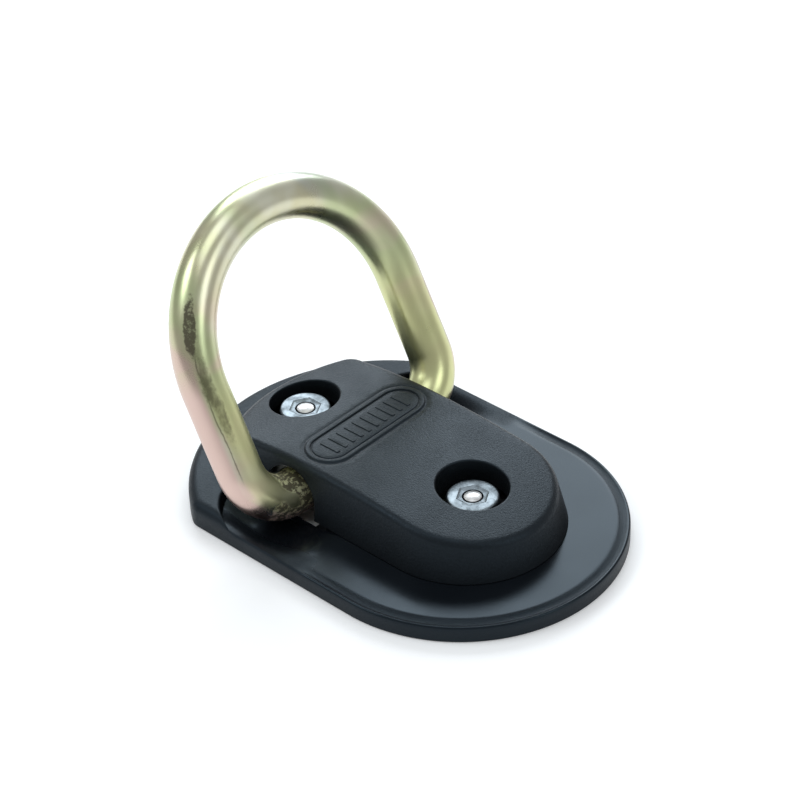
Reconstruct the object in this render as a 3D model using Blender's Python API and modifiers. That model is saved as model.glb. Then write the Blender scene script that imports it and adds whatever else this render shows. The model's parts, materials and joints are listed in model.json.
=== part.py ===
"""Bolt-down ground anchor with a folding D-shackle.

The shackle turns about the Y axis under a strap that two bolts clamp to a base plate. A moulded
tray and cover enclose the steel parts. Metres, +Z up; the origin is on the mounting surface under
the middle of the tray, and +X is the end that the shackle folds towards.
"""

import math

import bmesh
import bpy

COLLECTION = "folding_shackle_anchor"

# Fits
FIT_GAP = 0.0003
RUNNING_GAP = 0.0006

# Shackle
BAR_RADIUS = 0.008
SHACKLE_HEIGHT = 0.0923
SHACKLE_TOP_RADIUS = 0.0468
SHACKLE_BEND_RADIUS = 0.016
SHACKLE_LEAN = math.radians(26.9)
BAR_GROUND_HEIGHT = 0.0027
BAR_SIDES_RESOLUTION = 6

# Cover
COVER_HALF_WIDTH = 0.0338
COVER_LEFT_RADIUS = 0.054
COVER_CORNER_RADIUS = 0.010
COVER_WALL = 0.0024
COVER_SKIN = 0.0023
COVER_DRAFT = 0.21
COVER_EDGE_RADIUS = 0.003
COVER_CREST_OFFSET = 0.0095
COVER_DROP_LEFT = 2.4
COVER_DROP_RIGHT = 1.05
COVER_TAIL_MARGIN = 0.0115
COVER_NOSE_MARGIN = 0.0204
SHACKLE_SIDE_GAP = 0.0052

# Slots in the cover that the bar comes out of
SLOT_RADIUS = 0.012
SLOT_OFFSET = 0.001
SLOT_DROP = 0.0012
SLOT_REACH = 0.008

# Plaque on the cover
PLAQUE_LENGTH = 0.052
PLAQUE_WIDTH = 0.018
PLAQUE_OFFSET = 0.0062
PLAQUE_RAISE = 0.0005

# Tray
TRAY_THICKNESS = 0.0062
TRAY_SIDE_MARGIN = 0.00125
TRAY_NOSE_MARGIN = 0.0061
TRAY_TAIL_LENGTH = 0.0542
TRAY_LEFT_RADIUS = 0.066
TRAY_CORNER_RADIUS = 0.007
TRAY_EDGE_RADIUS = 0.0012
PLATEAU_HEIGHT = 0.0102
PLATEAU_EDGE_RADIUS = 0.0025
PLATEAU_STEP_RADIUS = 0.0215
PLATEAU_STEP_INSET = 0.012
SCOOP_RADIUS = 0.0463
SCOOP_FLOOR = 0.0017
SCOOP_RIM = 0.0032

# Steel plate, strap and bolts
PLATE_THICKNESS = 0.0028
PLATE_HALF_WIDTH = 0.026
PLATE_TAIL_CORNER = 0.022
PLATE_NOSE_CORNER = 0.016
PLATE_TAIL_MARGIN = 0.003
STRAP_THICKNESS = 0.003
STRAP_HALF_WIDTH = 0.024
STRAP_BEND_RADIUS = 0.003
STRAP_FOOT_RADIUS = 0.0008
STRAP_INSET = 0.002
EAR_HALF_LENGTH = 0.0129
STRAP_EAR_HALF_WIDTH = 0.029
PLATE_EAR_HALF_WIDTH = 0.033
BOLT_SPACING = 0.078
BOLT_TO_STRAP_GAP = 0.0026
BOLT_HEAD_RADIUS = 0.009
BOLT_HEAD_HEIGHT = 0.012
BOLT_HEAD_CHAMFER = 0.0009
BOLT_SHANK_RADIUS = 0.00585
BOLT_END_LENGTH = 0.0156
SOCKET_ACROSS_FLATS = 0.0084
SOCKET_CHAMFER = 0.001
BALL_DEPTH = 0.0006
RECESS_RADIUS = 0.0118
RECESS_WALL = 0.0016
RECESS_TUBE_LAP = 0.0045

# Small screws and pads
COVER_SCREW_RADIUS = 0.0015
COVER_SCREW_HEAD_RADIUS = 0.0027
COVER_SCREW_LENGTH = 0.0115
COVER_SCREW_POINT = 0.002
COVER_SCREW_SINK = 0.0005
BOSS_WALL = 0.0012
BOSS_HEIGHT = 0.0135
BOSS_INSET = 0.0052
TAIL_BOSS_TURN = math.radians(29)
NOSE_BOSS_TURN = math.radians(40)
PLATE_SCREW_RADIUS = 0.002
PLATE_SCREW_HEAD_RADIUS = 0.0038
PLATE_SCREW_HEAD_DEPTH = 0.0019
PLATE_SCREW_Y = 0.017
PLATE_SCREW_HEAD_RIM = 0.0003
PLATE_SCREW_TAIL_INSET = 0.0042
PLATE_SCREW_NOSE_INSET = 0.021
PAD_LENGTH = 0.008
PAD_HALF_WIDTH = 0.0045
PAD_CENTRE_Y = 0.013
PAD_SINK = 0.0017
PAD_EDGE_RADIUS = 0.0004

ARC_STEPS = 32
CORNER_STEPS = 6
ROUND_SIDES = 32
SMALL_SIDES = 16

# Cutters run from below the part to above it
CUT_LOW = -0.001
CUT_HIGH = 0.04
CUT_REACH = 0.05

# Heights
AXIS_Z = BAR_RADIUS + BAR_GROUND_HEIGHT
STRAP_FOOT_Z = PLATE_THICKNESS + FIT_GAP
BOLT_SEAT_Z = STRAP_FOOT_Z + STRAP_THICKNESS + FIT_GAP
BOLT_TOP_Z = BOLT_SEAT_Z + BOLT_HEAD_HEIGHT
COVER_FOOT_Z = TRAY_THICKNESS + FIT_GAP
STRAP_INNER_RADIUS = BAR_RADIUS + RUNNING_GAP
STRAP_OUTER_RADIUS = STRAP_INNER_RADIUS + STRAP_THICKNESS
COVER_CREST_Z = AXIS_Z + STRAP_OUTER_RADIUS + FIT_GAP + COVER_SKIN

# Widths
SHACKLE_HALF_WIDTH = COVER_HALF_WIDTH + SHACKLE_SIDE_GAP + BAR_RADIUS
TRAY_HALF_WIDTH = SHACKLE_HALF_WIDTH + BAR_RADIUS + TRAY_SIDE_MARGIN

# Places along X, with the tray centred on the origin
TRAY_NOSE_LENGTH = SHACKLE_HEIGHT + BAR_RADIUS + TRAY_NOSE_MARGIN
TRAY_LENGTH = TRAY_TAIL_LENGTH + TRAY_NOSE_LENGTH
AXIS_X = TRAY_TAIL_LENGTH - TRAY_LENGTH / 2
TRAY_TAIL_X = -TRAY_LENGTH / 2
TRAY_NOSE_X = TRAY_LENGTH / 2
TRAY_LEFT_CENTRE = TRAY_TAIL_X + TRAY_LEFT_RADIUS
TRAY_RIGHT_CENTRE = TRAY_NOSE_X - TRAY_HALF_WIDTH
COVER_TAIL_X = TRAY_TAIL_X + COVER_TAIL_MARGIN
COVER_LEFT_CENTRE = COVER_TAIL_X + COVER_LEFT_RADIUS
COVER_NOSE_X = TRAY_NOSE_X - COVER_NOSE_MARGIN
COVER_RIGHT_CENTRE = COVER_NOSE_X - COVER_HALF_WIDTH
CREST_X = AXIS_X + COVER_CREST_OFFSET
BOLT_LEFT_X = AXIS_X - STRAP_OUTER_RADIUS - BOLT_TO_STRAP_GAP - BOLT_HEAD_RADIUS
BOLT_RIGHT_X = BOLT_LEFT_X + BOLT_SPACING
PLATE_TAIL_X = BOLT_LEFT_X - BOLT_HEAD_RADIUS - PLATE_TAIL_MARGIN
PLATE_NOSE_X = BOLT_RIGHT_X + BOLT_END_LENGTH
SLOT_X = AXIS_X + SLOT_OFFSET
SLOT_Z = AXIS_Z - SLOT_DROP
PLAQUE_X = AXIS_X + PLAQUE_OFFSET
PLAQUE_TOP_Z = COVER_CREST_Z + PLAQUE_RAISE

SIDES = (("front", -1), ("rear", 1))
BOLTS = (("left", BOLT_LEFT_X), ("right", BOLT_RIGHT_X))

for old in list(bpy.data.objects):
    bpy.data.objects.remove(old)

parts = bpy.data.collections.new(COLLECTION)
cutters = bpy.data.collections.new(COLLECTION + "_cutters")
bpy.context.scene.collection.children.link(parts)
bpy.context.scene.collection.children.link(cutters)


# Materials


def material(name, colour, roughness, metallic=0.0):
    """A Principled material with one colour."""
    made = bpy.data.materials.new(name)
    made.use_nodes = True
    shader = made.node_tree.nodes["Principled BSDF"]
    shader.inputs["Base Color"].default_value = (*colour, 1.0)
    shader.inputs["Roughness"].default_value = roughness
    shader.inputs["Metallic"].default_value = metallic
    return made


CHROMATE = material("yellow_chromate", (0.72, 0.66, 0.46), 0.3, 1.0)
COVER_PLASTIC = material("cover_plastic", (0.035, 0.038, 0.042), 0.45)
TRAY_PLASTIC = material("tray_plastic", (0.025, 0.027, 0.032), 0.3)
ZINC = material("zinc_plate", (0.75, 0.77, 0.8), 0.32, 1.0)
STRAP_STEEL = material("strap_steel", (0.6, 0.61, 0.62), 0.4, 1.0)
BALL_STEEL = material("ball_steel", (0.85, 0.85, 0.86), 0.12, 1.0)
PAD_RUBBER = material("pad_rubber", (0.05, 0.05, 0.05), 0.8)
SCREW_STEEL = material("screw_steel", (0.55, 0.56, 0.58), 0.35, 1.0)


# Builders


def place(obj, collection, finish=None):
    """Puts an object in its collection, as a part with a finish or as a hidden cutter."""
    for home in list(obj.users_collection):
        home.objects.unlink(obj)
    collection.objects.link(obj)
    if finish:
        obj.data.materials.clear()
        obj.data.materials.append(finish)
        obj.data.shade_smooth()
        obj.data.set_sharp_from_angle(angle=math.radians(35))
    else:
        obj.hide_render = True
        obj.display_type = "WIRE"
    return obj


def new_mesh_object(name, shape):
    """An object that takes over a bmesh."""
    bmesh.ops.recalc_face_normals(shape, faces=shape.faces)
    mesh = bpy.data.meshes.new(name)
    shape.to_mesh(mesh)
    shape.free()
    obj = bpy.data.objects.new(name, mesh)
    bpy.context.scene.collection.objects.link(obj)
    return obj


def mesh_from_curve(curve_object):
    """A welded mesh object in place of a curve object."""
    bpy.context.view_layer.update()
    graph = bpy.context.evaluated_depsgraph_get()
    mesh = bpy.data.meshes.new_from_object(curve_object.evaluated_get(graph))
    shape = bmesh.new()
    shape.from_mesh(mesh)
    bmesh.ops.remove_doubles(shape, verts=shape.verts, dist=1e-6)
    name = curve_object.name
    place_at = curve_object.matrix_world.copy()
    bpy.data.objects.remove(curve_object)
    obj = new_mesh_object(name, shape)
    obj.matrix_world = place_at
    return obj


def filled_curve(name, outline, thickness):
    """A flat outline, filled, with its thickness shared on both sides of its plane."""
    curve = bpy.data.curves.new(name, "CURVE")
    curve.dimensions = "2D"
    curve.fill_mode = "BOTH"
    curve.extrude = thickness / 2
    spline = curve.splines.new("POLY")
    spline.points.add(len(outline) - 1)
    for point, (x, y) in zip(spline.points, outline):
        point.co = (x, y, 0.0, 1.0)
    spline.use_cyclic_u = True
    obj = bpy.data.objects.new(name, curve)
    bpy.context.scene.collection.objects.link(obj)
    return obj


def prism(name, outline, low, high):
    """An upright prism between two heights."""
    flat = filled_curve(name, outline, high - low)
    flat.location.z = (low + high) / 2
    return mesh_from_curve(flat)


def cross_prism(name, outline, half_width):
    """A prism along Y whose outline holds X and Z."""
    flat = filled_curve(name, outline, 2 * half_width)
    flat.rotation_euler.x = math.pi / 2
    return mesh_from_curve(flat)


def cylinder(name, radius, low, high, x=0.0, y=0.0, sides=ROUND_SIDES, top_radius=None):
    """An upright cylinder or cone between two heights."""
    shape = bmesh.new()
    bmesh.ops.create_cone(
        shape,
        cap_ends=True,
        segments=sides,
        radius1=radius,
        radius2=radius if top_radius is None else top_radius,
        depth=high - low,
    )
    obj = new_mesh_object(name, shape)
    obj.location = (x, y, (low + high) / 2)
    return obj


def cross_cylinder(name, radius, x, z, y_low, y_high, sides=64):
    """A cylinder along Y."""
    obj = cylinder(name, radius, 0.0, y_high - y_low, sides=sides)
    obj.rotation_euler.x = math.pi / 2
    obj.location = (x, (y_low + y_high) / 2, z)
    return obj


def box(name, low, high):
    """A box between two corners."""
    shape = bmesh.new()
    bmesh.ops.create_cube(shape, size=1.0)
    size = [high[i] - low[i] for i in range(3)]
    middle = [(high[i] + low[i]) / 2 for i in range(3)]
    bmesh.ops.scale(shape, vec=size, verts=shape.verts)
    bmesh.ops.translate(shape, vec=middle, verts=shape.verts)
    return new_mesh_object(name, shape)


def turned(name, profile, x, y, steps=ROUND_SIDES):
    """A solid of revolution about an upright axis, from a profile that runs down its outer side."""
    mesh = bpy.data.meshes.new(name)
    points = [(radius, 0.0, z) for radius, z in profile]
    mesh.from_pydata(points, [(i, i + 1) for i in range(len(points) - 1)], [])
    obj = bpy.data.objects.new(name, mesh)
    bpy.context.scene.collection.objects.link(obj)
    screw = obj.modifiers.new("Turn", "SCREW")
    screw.steps = steps
    screw.render_steps = steps
    screw.use_merge_vertices = True
    screw.merge_threshold = 1e-5
    obj.location = (x, y, 0.0)
    return obj


def combine(obj, other, operation):
    """A Boolean that stays on the object; the other object becomes a cutter."""
    place(other, cutters)
    cut = obj.modifiers.new(other.name, "BOOLEAN")
    cut.operation = operation
    cut.solver = "EXACT"
    cut.object = other
    return obj


def cut(obj, *others):
    """Takes other objects away from one."""
    for other in others:
        combine(obj, other, "DIFFERENCE")
    return obj


def drill(obj, name, radius, x, y, low=CUT_LOW, high=CUT_HIGH, sides=ROUND_SIDES):
    """Cuts an upright round hole."""
    return cut(obj, cylinder(name, radius, low, high, x, y, sides))


def arc(centre_x, centre_y, radius, start, end, steps):
    """Points on an arc, ends included, with angles in radians."""
    return [
        (
            centre_x + radius * math.cos(start + (end - start) * i / steps),
            centre_y + radius * math.sin(start + (end - start) * i / steps),
        )
        for i in range(steps + 1)
    ]


def d_outline(right_x, left_x, half_width, left_radius, corner_radius, inset=0.0):
    """A long outline with a half-round right end and a flatter left arc with rounded corners."""
    half = half_width - inset
    left = left_radius - inset
    corner = max(corner_radius - inset, 0.0015)
    corner_x = left_x - math.sqrt((left - corner) ** 2 - (half - corner) ** 2)
    turn = math.atan2(half - corner, corner_x - left_x)
    points = arc(right_x, 0.0, half, -math.pi / 2, math.pi / 2, ARC_STEPS)
    points += arc(corner_x, half - corner, corner, math.pi / 2, turn, CORNER_STEPS)
    points += arc(left_x, 0.0, left, turn, 2 * math.pi - turn, ARC_STEPS // 2)[1:-1]
    points += arc(corner_x, corner - half, corner, -turn, -math.pi / 2, CORNER_STEPS)
    return points


def tray_outline(inset=0.0):
    return d_outline(
        TRAY_RIGHT_CENTRE,
        TRAY_LEFT_CENTRE,
        TRAY_HALF_WIDTH,
        TRAY_LEFT_RADIUS,
        TRAY_CORNER_RADIUS,
        inset,
    )


def cover_outline(inset=0.0):
    return d_outline(
        COVER_RIGHT_CENTRE,
        COVER_LEFT_CENTRE,
        COVER_HALF_WIDTH,
        COVER_LEFT_RADIUS,
        COVER_CORNER_RADIUS,
        inset,
    )


def plate_outline(tail_x, nose_x, half_width, tail_corner, nose_corner):
    """A rectangle whose tail and nose corners have their own radii."""
    points = []
    for x, y, radius, start in (
        (nose_x - nose_corner, -half_width + nose_corner, nose_corner, -0.5),
        (nose_x - nose_corner, half_width - nose_corner, nose_corner, 0.0),
        (tail_x + tail_corner, half_width - tail_corner, tail_corner, 0.5),
        (tail_x + tail_corner, -half_width + tail_corner, tail_corner, 1.0),
    ):
        points += arc(x, y, radius, start * math.pi, (start + 0.5) * math.pi, 8)
    return points


def cover_top(x):
    """Height of the arched top of the cover."""
    reach = x - CREST_X
    drop = COVER_DROP_LEFT if reach < 0 else COVER_DROP_RIGHT
    return COVER_CREST_Z - drop * reach * reach


# Shackle


def shackle_path():
    """Centre line of the shackle, from the middle of its straight bar, as (across, up)."""
    bend_y = SHACKLE_HALF_WIDTH - SHACKLE_BEND_RADIUS
    rise = SHACKLE_HEIGHT - SHACKLE_TOP_RADIUS - SHACKLE_BEND_RADIUS
    reach = math.hypot(bend_y, rise)
    toward = math.atan2(rise, -bend_y)
    tangent = toward - math.acos((SHACKLE_BEND_RADIUS - SHACKLE_TOP_RADIUS) / reach)
    half = arc(bend_y, SHACKLE_BEND_RADIUS, SHACKLE_BEND_RADIUS, -math.pi / 2, tangent, 8)
    top_z = SHACKLE_HEIGHT - SHACKLE_TOP_RADIUS
    half += arc(0.0, top_z, SHACKLE_TOP_RADIUS, tangent, math.pi / 2, 12)
    return half + [(-y, z) for y, z in reversed(half[:-1])]


def make_shackle():
    """The shackle: round bar swept along its centre line, leaning on its axis."""
    curve = bpy.data.curves.new("shackle_ring", "CURVE")
    curve.dimensions = "3D"
    curve.bevel_depth = BAR_RADIUS
    curve.bevel_resolution = BAR_SIDES_RESOLUTION
    path = shackle_path()
    spline = curve.splines.new("POLY")
    spline.points.add(len(path) - 1)
    for point, (y, z) in zip(spline.points, path):
        point.co = (0.0, y, z, 1.0)
    spline.use_cyclic_u = True
    bar = bpy.data.objects.new("shackle_ring", curve)
    bpy.context.scene.collection.objects.link(bar)
    bar.location = (AXIS_X, 0.0, AXIS_Z)
    bar.rotation_euler.y = -SHACKLE_LEAN
    place(mesh_from_curve(bar), parts, CHROMATE)


# Cover


def cover_surface():
    """Open outer surface of the cover: drafted wall, rounded edge and arched top."""
    shape = bmesh.new()
    foot = cover_outline()
    count = len(foot)

    def ring(inset, height_at):
        spread = cover_outline(inset)
        return [shape.verts.new((x, y, height_at(x, y))) for x, y in spread]

    wall_rise = cover_top(COVER_RIGHT_CENTRE) - COVER_EDGE_RADIUS - COVER_FOOT_Z
    wall_inset = COVER_DRAFT * wall_rise
    rings = [ring(0.0, lambda x, y: COVER_FOOT_Z)]
    for step in range(4):
        turn = step / 3 * math.pi / 2
        inset = wall_inset + COVER_EDGE_RADIUS * (1 - math.cos(turn))
        drop = COVER_EDGE_RADIUS * (1 - math.sin(turn))
        rings.append(ring(inset, lambda x, y, drop=drop: cover_top(x) - drop))
    edge = [vert.co.copy() for vert in rings[-1]]
    for share in (0.66, 0.33):
        row = []
        for co in edge:
            spine_x = min(max(co.x, COVER_LEFT_CENTRE), COVER_RIGHT_CENTRE)
            x = spine_x + (co.x - spine_x) * share
            row.append(shape.verts.new((x, co.y * share, cover_top(x))))
        rings.append(row)
    for low, high in zip(rings, rings[1:]):
        for i in range(count):
            j = (i + 1) % count
            shape.faces.new((low[i], low[j], high[j], high[i]))
    last = rings[-1]
    first = ARC_STEPS // 2
    for step in range(1, count // 2):
        a = last[(first - step) % count]
        b = last[(first + step) % count]
        c = last[(first - step + 1) % count]
        d = last[(first + step - 1) % count]
        if c is d:
            shape.faces.new((a, c, b))
        else:
            shape.faces.new((a, c, d, b))
    a = last[(first - count // 2 + 1) % count]
    b = last[(first + count // 2 - 1) % count]
    end = last[(first + count // 2) % count]
    if end not in (a, b):
        shape.faces.new((a, b, end))
    return new_mesh_object("top_cover", shape)


def boss_places():
    """Centres of the four cover screws."""
    tail = COVER_LEFT_RADIUS - BOSS_INSET
    nose = COVER_HALF_WIDTH - BOSS_INSET
    tail_x = COVER_LEFT_CENTRE - tail * math.cos(TAIL_BOSS_TURN)
    tail_y = tail * math.sin(TAIL_BOSS_TURN)
    nose_x = COVER_RIGHT_CENTRE + nose * math.cos(NOSE_BOSS_TURN)
    nose_y = nose * math.sin(NOSE_BOSS_TURN)
    return (
        ("tail_front", tail_x, -tail_y),
        ("tail_rear", tail_x, tail_y),
        ("nose_front", nose_x, -nose_y),
        ("nose_rear", nose_x, nose_y),
    )


def plaque_outline():
    """Outline of the plaque: a long slot shape across the cover."""
    radius = PLAQUE_WIDTH / 2
    reach = PLAQUE_LENGTH / 2 - radius
    points = arc(PLAQUE_X, reach, radius, 0.0, math.pi, 10)
    points += arc(PLAQUE_X, -reach, radius, math.pi, 2 * math.pi, 10)
    return points


def make_cover():
    """Moulded cover: shell, bolt recesses, screw bosses, plaque and slots for the bar."""
    cover = cover_surface()
    solid = cover.modifiers.new("Wall", "SOLIDIFY")
    solid.thickness = COVER_WALL
    solid.offset = -1.0
    solid.use_even_offset = True
    for side, x in BOLTS:
        tube = cylinder(
            f"recess_tube_{side}",
            RECESS_RADIUS + RECESS_WALL,
            BOLT_TOP_Z - RECESS_TUBE_LAP,
            cover_top(x) - COVER_WALL / 2,
            x,
        )
        combine(cover, tube, "UNION")
    for place_name, x, y in boss_places():
        boss = cylinder(
            f"boss_{place_name}",
            COVER_SCREW_RADIUS + BOSS_WALL,
            COVER_FOOT_Z - FIT_GAP,
            BOSS_HEIGHT,
            x,
            y,
            SMALL_SIDES,
        )
        combine(cover, boss, "UNION")
    trim_low = (TRAY_TAIL_X, -TRAY_HALF_WIDTH, 0.0)
    trim_high = (TRAY_NOSE_X, TRAY_HALF_WIDTH, COVER_FOOT_Z)
    cut(cover, box("foot_trim", trim_low, trim_high))
    plaque_low = cover_top(PLAQUE_X) - COVER_WALL / 2
    plaque = prism("plaque_raise", plaque_outline(), plaque_low, PLAQUE_TOP_Z)
    combine(cover, plaque, "UNION")
    for side, x in BOLTS:
        drill(cover, f"recess_{side}", RECESS_RADIUS, x, 0.0, low=BOLT_SEAT_Z)
    for place_name, x, y in boss_places():
        radius = COVER_SCREW_RADIUS + FIT_GAP
        depth = COVER_SCREW_SINK + COVER_SCREW_LENGTH + FIT_GAP
        drill(cover, f"boss_hole_{place_name}", radius, x, y, high=depth, sides=SMALL_SIDES)
    clear_radius = STRAP_OUTER_RADIUS + FIT_GAP
    clear_half = STRAP_EAR_HALF_WIDTH + FIT_GAP
    cut(cover, cross_cylinder("strap_room", clear_radius, AXIS_X, AXIS_Z, -clear_half, clear_half))
    arch = arc(SLOT_X, SLOT_Z, SLOT_RADIUS, 0.0, math.pi, 20)
    foot = COVER_FOOT_Z - COVER_WALL
    outline = [(SLOT_X + SLOT_RADIUS, foot), *arch, (SLOT_X - SLOT_RADIUS, foot)]
    for side, sign in SIDES:
        slot = cross_prism(f"slot_{side}", outline, SLOT_REACH)
        slot.location.y = sign * COVER_HALF_WIDTH
        cut(cover, slot)
    place(cover, parts, COVER_PLASTIC)


# Tray


def plateau_region():
    """Outline of the raised tail of the tray, around the two scoops for the bends."""
    step_y = SHACKLE_HALF_WIDTH - PLATEAU_STEP_INSET
    rim_y = step_y + PLATEAU_STEP_RADIUS + RUNNING_GAP
    step = arc(AXIS_X, step_y, PLATEAU_STEP_RADIUS, math.pi / 2, math.pi, 8)
    points = [(2 * TRAY_TAIL_X, rim_y), (AXIS_X, rim_y), *step]
    return points + [(x, -y) for x, y in reversed(points)]


def ear_box(name, half_width, low, high, gap=0.0):
    """A box across the bar, out to the slots in the cover."""
    reach = EAR_HALF_LENGTH + gap
    width = half_width + gap
    return box(name, (AXIS_X - reach, -width, low), (AXIS_X + reach, width, high))


def make_tray():
    """Moulded tray: edge, raised tail, scoops for the bends and room for the steel parts."""
    tray = prism("base_tray", tray_outline(), 0.0, TRAY_THICKNESS)
    edge = tray.modifiers.new("Edge", "BEVEL")
    edge.width = TRAY_EDGE_RADIUS
    edge.segments = 2
    edge.limit_method = "ANGLE"
    edge.angle_limit = math.radians(60)
    plateau = prism("plateau", tray_outline(), FIT_GAP, PLATEAU_HEIGHT)
    round_edge = plateau.modifiers.new("Edge", "BEVEL")
    round_edge.width = PLATEAU_EDGE_RADIUS
    round_edge.segments = 3
    round_edge.limit_method = "ANGLE"
    round_edge.angle_limit = math.radians(60)
    region = prism("plateau_region", plateau_region(), SCOOP_FLOOR, CUT_HIGH)
    combine(plateau, region, "INTERSECT")
    combine(tray, plateau, "UNION")
    cut(tray, prism("cover_seat", cover_outline(-FIT_GAP), TRAY_THICKNESS, CUT_HIGH))
    scoop_y = TRAY_HALF_WIDTH - SCOOP_RIM
    scoop = cross_cylinder(
        "scoop", SCOOP_RADIUS, AXIS_X, SCOOP_FLOOR + SCOOP_RADIUS, -scoop_y, scoop_y, 160
    )
    cut(tray, scoop)
    recess = plate_outline(
        PLATE_TAIL_X - FIT_GAP,
        PLATE_NOSE_X + FIT_GAP,
        PLATE_HALF_WIDTH + FIT_GAP,
        PLATE_TAIL_CORNER + FIT_GAP,
        PLATE_NOSE_CORNER + FIT_GAP,
    )
    opening = plate_outline(
        PLATE_TAIL_X + STRAP_INSET - FIT_GAP,
        PLATE_NOSE_X - STRAP_INSET + FIT_GAP,
        STRAP_HALF_WIDTH + FIT_GAP,
        PLATE_TAIL_CORNER - STRAP_INSET + FIT_GAP,
        PLATE_NOSE_CORNER - STRAP_INSET + FIT_GAP,
    )
    recess_top = PLATE_THICKNESS + FIT_GAP
    cut(
        tray,
        prism("plate_recess", recess, CUT_LOW, recess_top),
        ear_box("plate_ear_room", PLATE_EAR_HALF_WIDTH, 2 * CUT_LOW, recess_top, FIT_GAP),
        prism("strap_opening", opening, FIT_GAP, CUT_HIGH),
        ear_box("strap_ear_room", STRAP_EAR_HALF_WIDTH, 2 * FIT_GAP, CUT_REACH, FIT_GAP),
    )
    for place_name, x, y in boss_places():
        shank = COVER_SCREW_RADIUS + FIT_GAP
        head = COVER_SCREW_HEAD_RADIUS + FIT_GAP
        sink = COVER_SCREW_SINK + head
        drill(tray, f"tray_hole_{place_name}", shank, x, y, sides=SMALL_SIDES)
        drill(tray, f"tray_sink_{place_name}", head, x, y, high=sink, sides=SMALL_SIDES)
    place(tray, parts, TRAY_PLASTIC)


# Steel plate and strap


def plate_screw_places():
    """Centres of the four screws that hold the strap to the plate."""
    tail_x = BOLT_LEFT_X + PLATE_SCREW_TAIL_INSET
    nose_x = BOLT_RIGHT_X - PLATE_SCREW_NOSE_INSET
    return (
        ("tail_front", tail_x, -PLATE_SCREW_Y),
        ("tail_rear", tail_x, PLATE_SCREW_Y),
        ("nose_front", nose_x, -PLATE_SCREW_Y),
        ("nose_rear", nose_x, PLATE_SCREW_Y),
    )


def pad_corners(sign, gap=0.0):
    """Lowest and highest corner of a friction pad, or of its pocket when a gap is given."""
    middle = sign * PAD_CENTRE_Y
    half_x = PAD_HALF_WIDTH + gap
    half_y = PAD_LENGTH / 2 + gap
    top = BAR_GROUND_HEIGHT - FIT_GAP
    low = (AXIS_X - half_x, middle - half_y, top - PAD_SINK - gap)
    high = (AXIS_X + half_x, middle + half_y, top)
    return low, high


def make_plate():
    """Steel plate under the bar, with bolt holes, countersinks and pad pockets."""
    outline = plate_outline(
        PLATE_TAIL_X, PLATE_NOSE_X, PLATE_HALF_WIDTH, PLATE_TAIL_CORNER, PLATE_NOSE_CORNER
    )
    plate = prism("steel_base_plate", outline, 0.0, PLATE_THICKNESS)
    ears = ear_box("plate_ears", PLATE_EAR_HALF_WIDTH, 0.0, PLATE_THICKNESS)
    combine(plate, ears, "UNION")
    trough = BAR_RADIUS + RUNNING_GAP
    cut(plate, cross_cylinder("bar_trough", trough, AXIS_X, AXIS_Z, -CUT_REACH, CUT_REACH))
    for side, x in BOLTS:
        drill(plate, f"plate_hole_{side}", BOLT_SHANK_RADIUS + RUNNING_GAP, x, 0.0)
    for place_name, x, y in plate_screw_places():
        head = PLATE_SCREW_HEAD_RADIUS + FIT_GAP
        shank = PLATE_SCREW_RADIUS + FIT_GAP
        sink = PLATE_SCREW_HEAD_DEPTH + 2 * FIT_GAP
        drill(plate, f"plate_sink_{place_name}", head, x, y, high=sink, sides=SMALL_SIDES)
        drill(plate, f"plate_clear_{place_name}", shank, x, y, sides=SMALL_SIDES)
    for place_name, x, y in boss_places():
        clear = COVER_SCREW_HEAD_RADIUS + FIT_GAP
        drill(plate, f"cover_screw_clear_{place_name}", clear, x, y, sides=SMALL_SIDES)
    for side, sign in SIDES:
        low, high = pad_corners(sign, FIT_GAP)
        cut(plate, box(f"pad_pocket_{side}", low, (high[0], high[1], CUT_HIGH)))
    place(plate, parts, ZINC)


def strap_section():
    """Section of the strap in X and Z: foot, arch over the bar, foot."""
    low = STRAP_FOOT_Z
    high = STRAP_FOOT_Z + STRAP_THICKNESS
    tail_x = PLATE_TAIL_X + STRAP_INSET
    nose_x = PLATE_NOSE_X - STRAP_INSET
    outer = STRAP_OUTER_RADIUS
    inner = STRAP_INNER_RADIUS
    bend = STRAP_BEND_RADIUS
    points = [(tail_x, low)]
    foot = STRAP_FOOT_RADIUS
    points += arc(AXIS_X - inner - foot, low + foot, foot, -math.pi / 2, 0.0, 2)
    points += arc(AXIS_X, AXIS_Z, inner, math.pi, 0.0, 20)
    points += arc(AXIS_X + inner + foot, low + foot, foot, math.pi, 1.5 * math.pi, 2)
    points += [(nose_x, low), (nose_x, high)]
    points += arc(AXIS_X + outer + bend, high + bend, bend, 1.5 * math.pi, math.pi, 4)
    points += arc(AXIS_X, AXIS_Z, outer, 0.0, math.pi, 24)
    points += arc(AXIS_X - outer - bend, high + bend, bend, 0.0, -math.pi / 2, 4)
    points += [(tail_x, high)]
    return points


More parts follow.
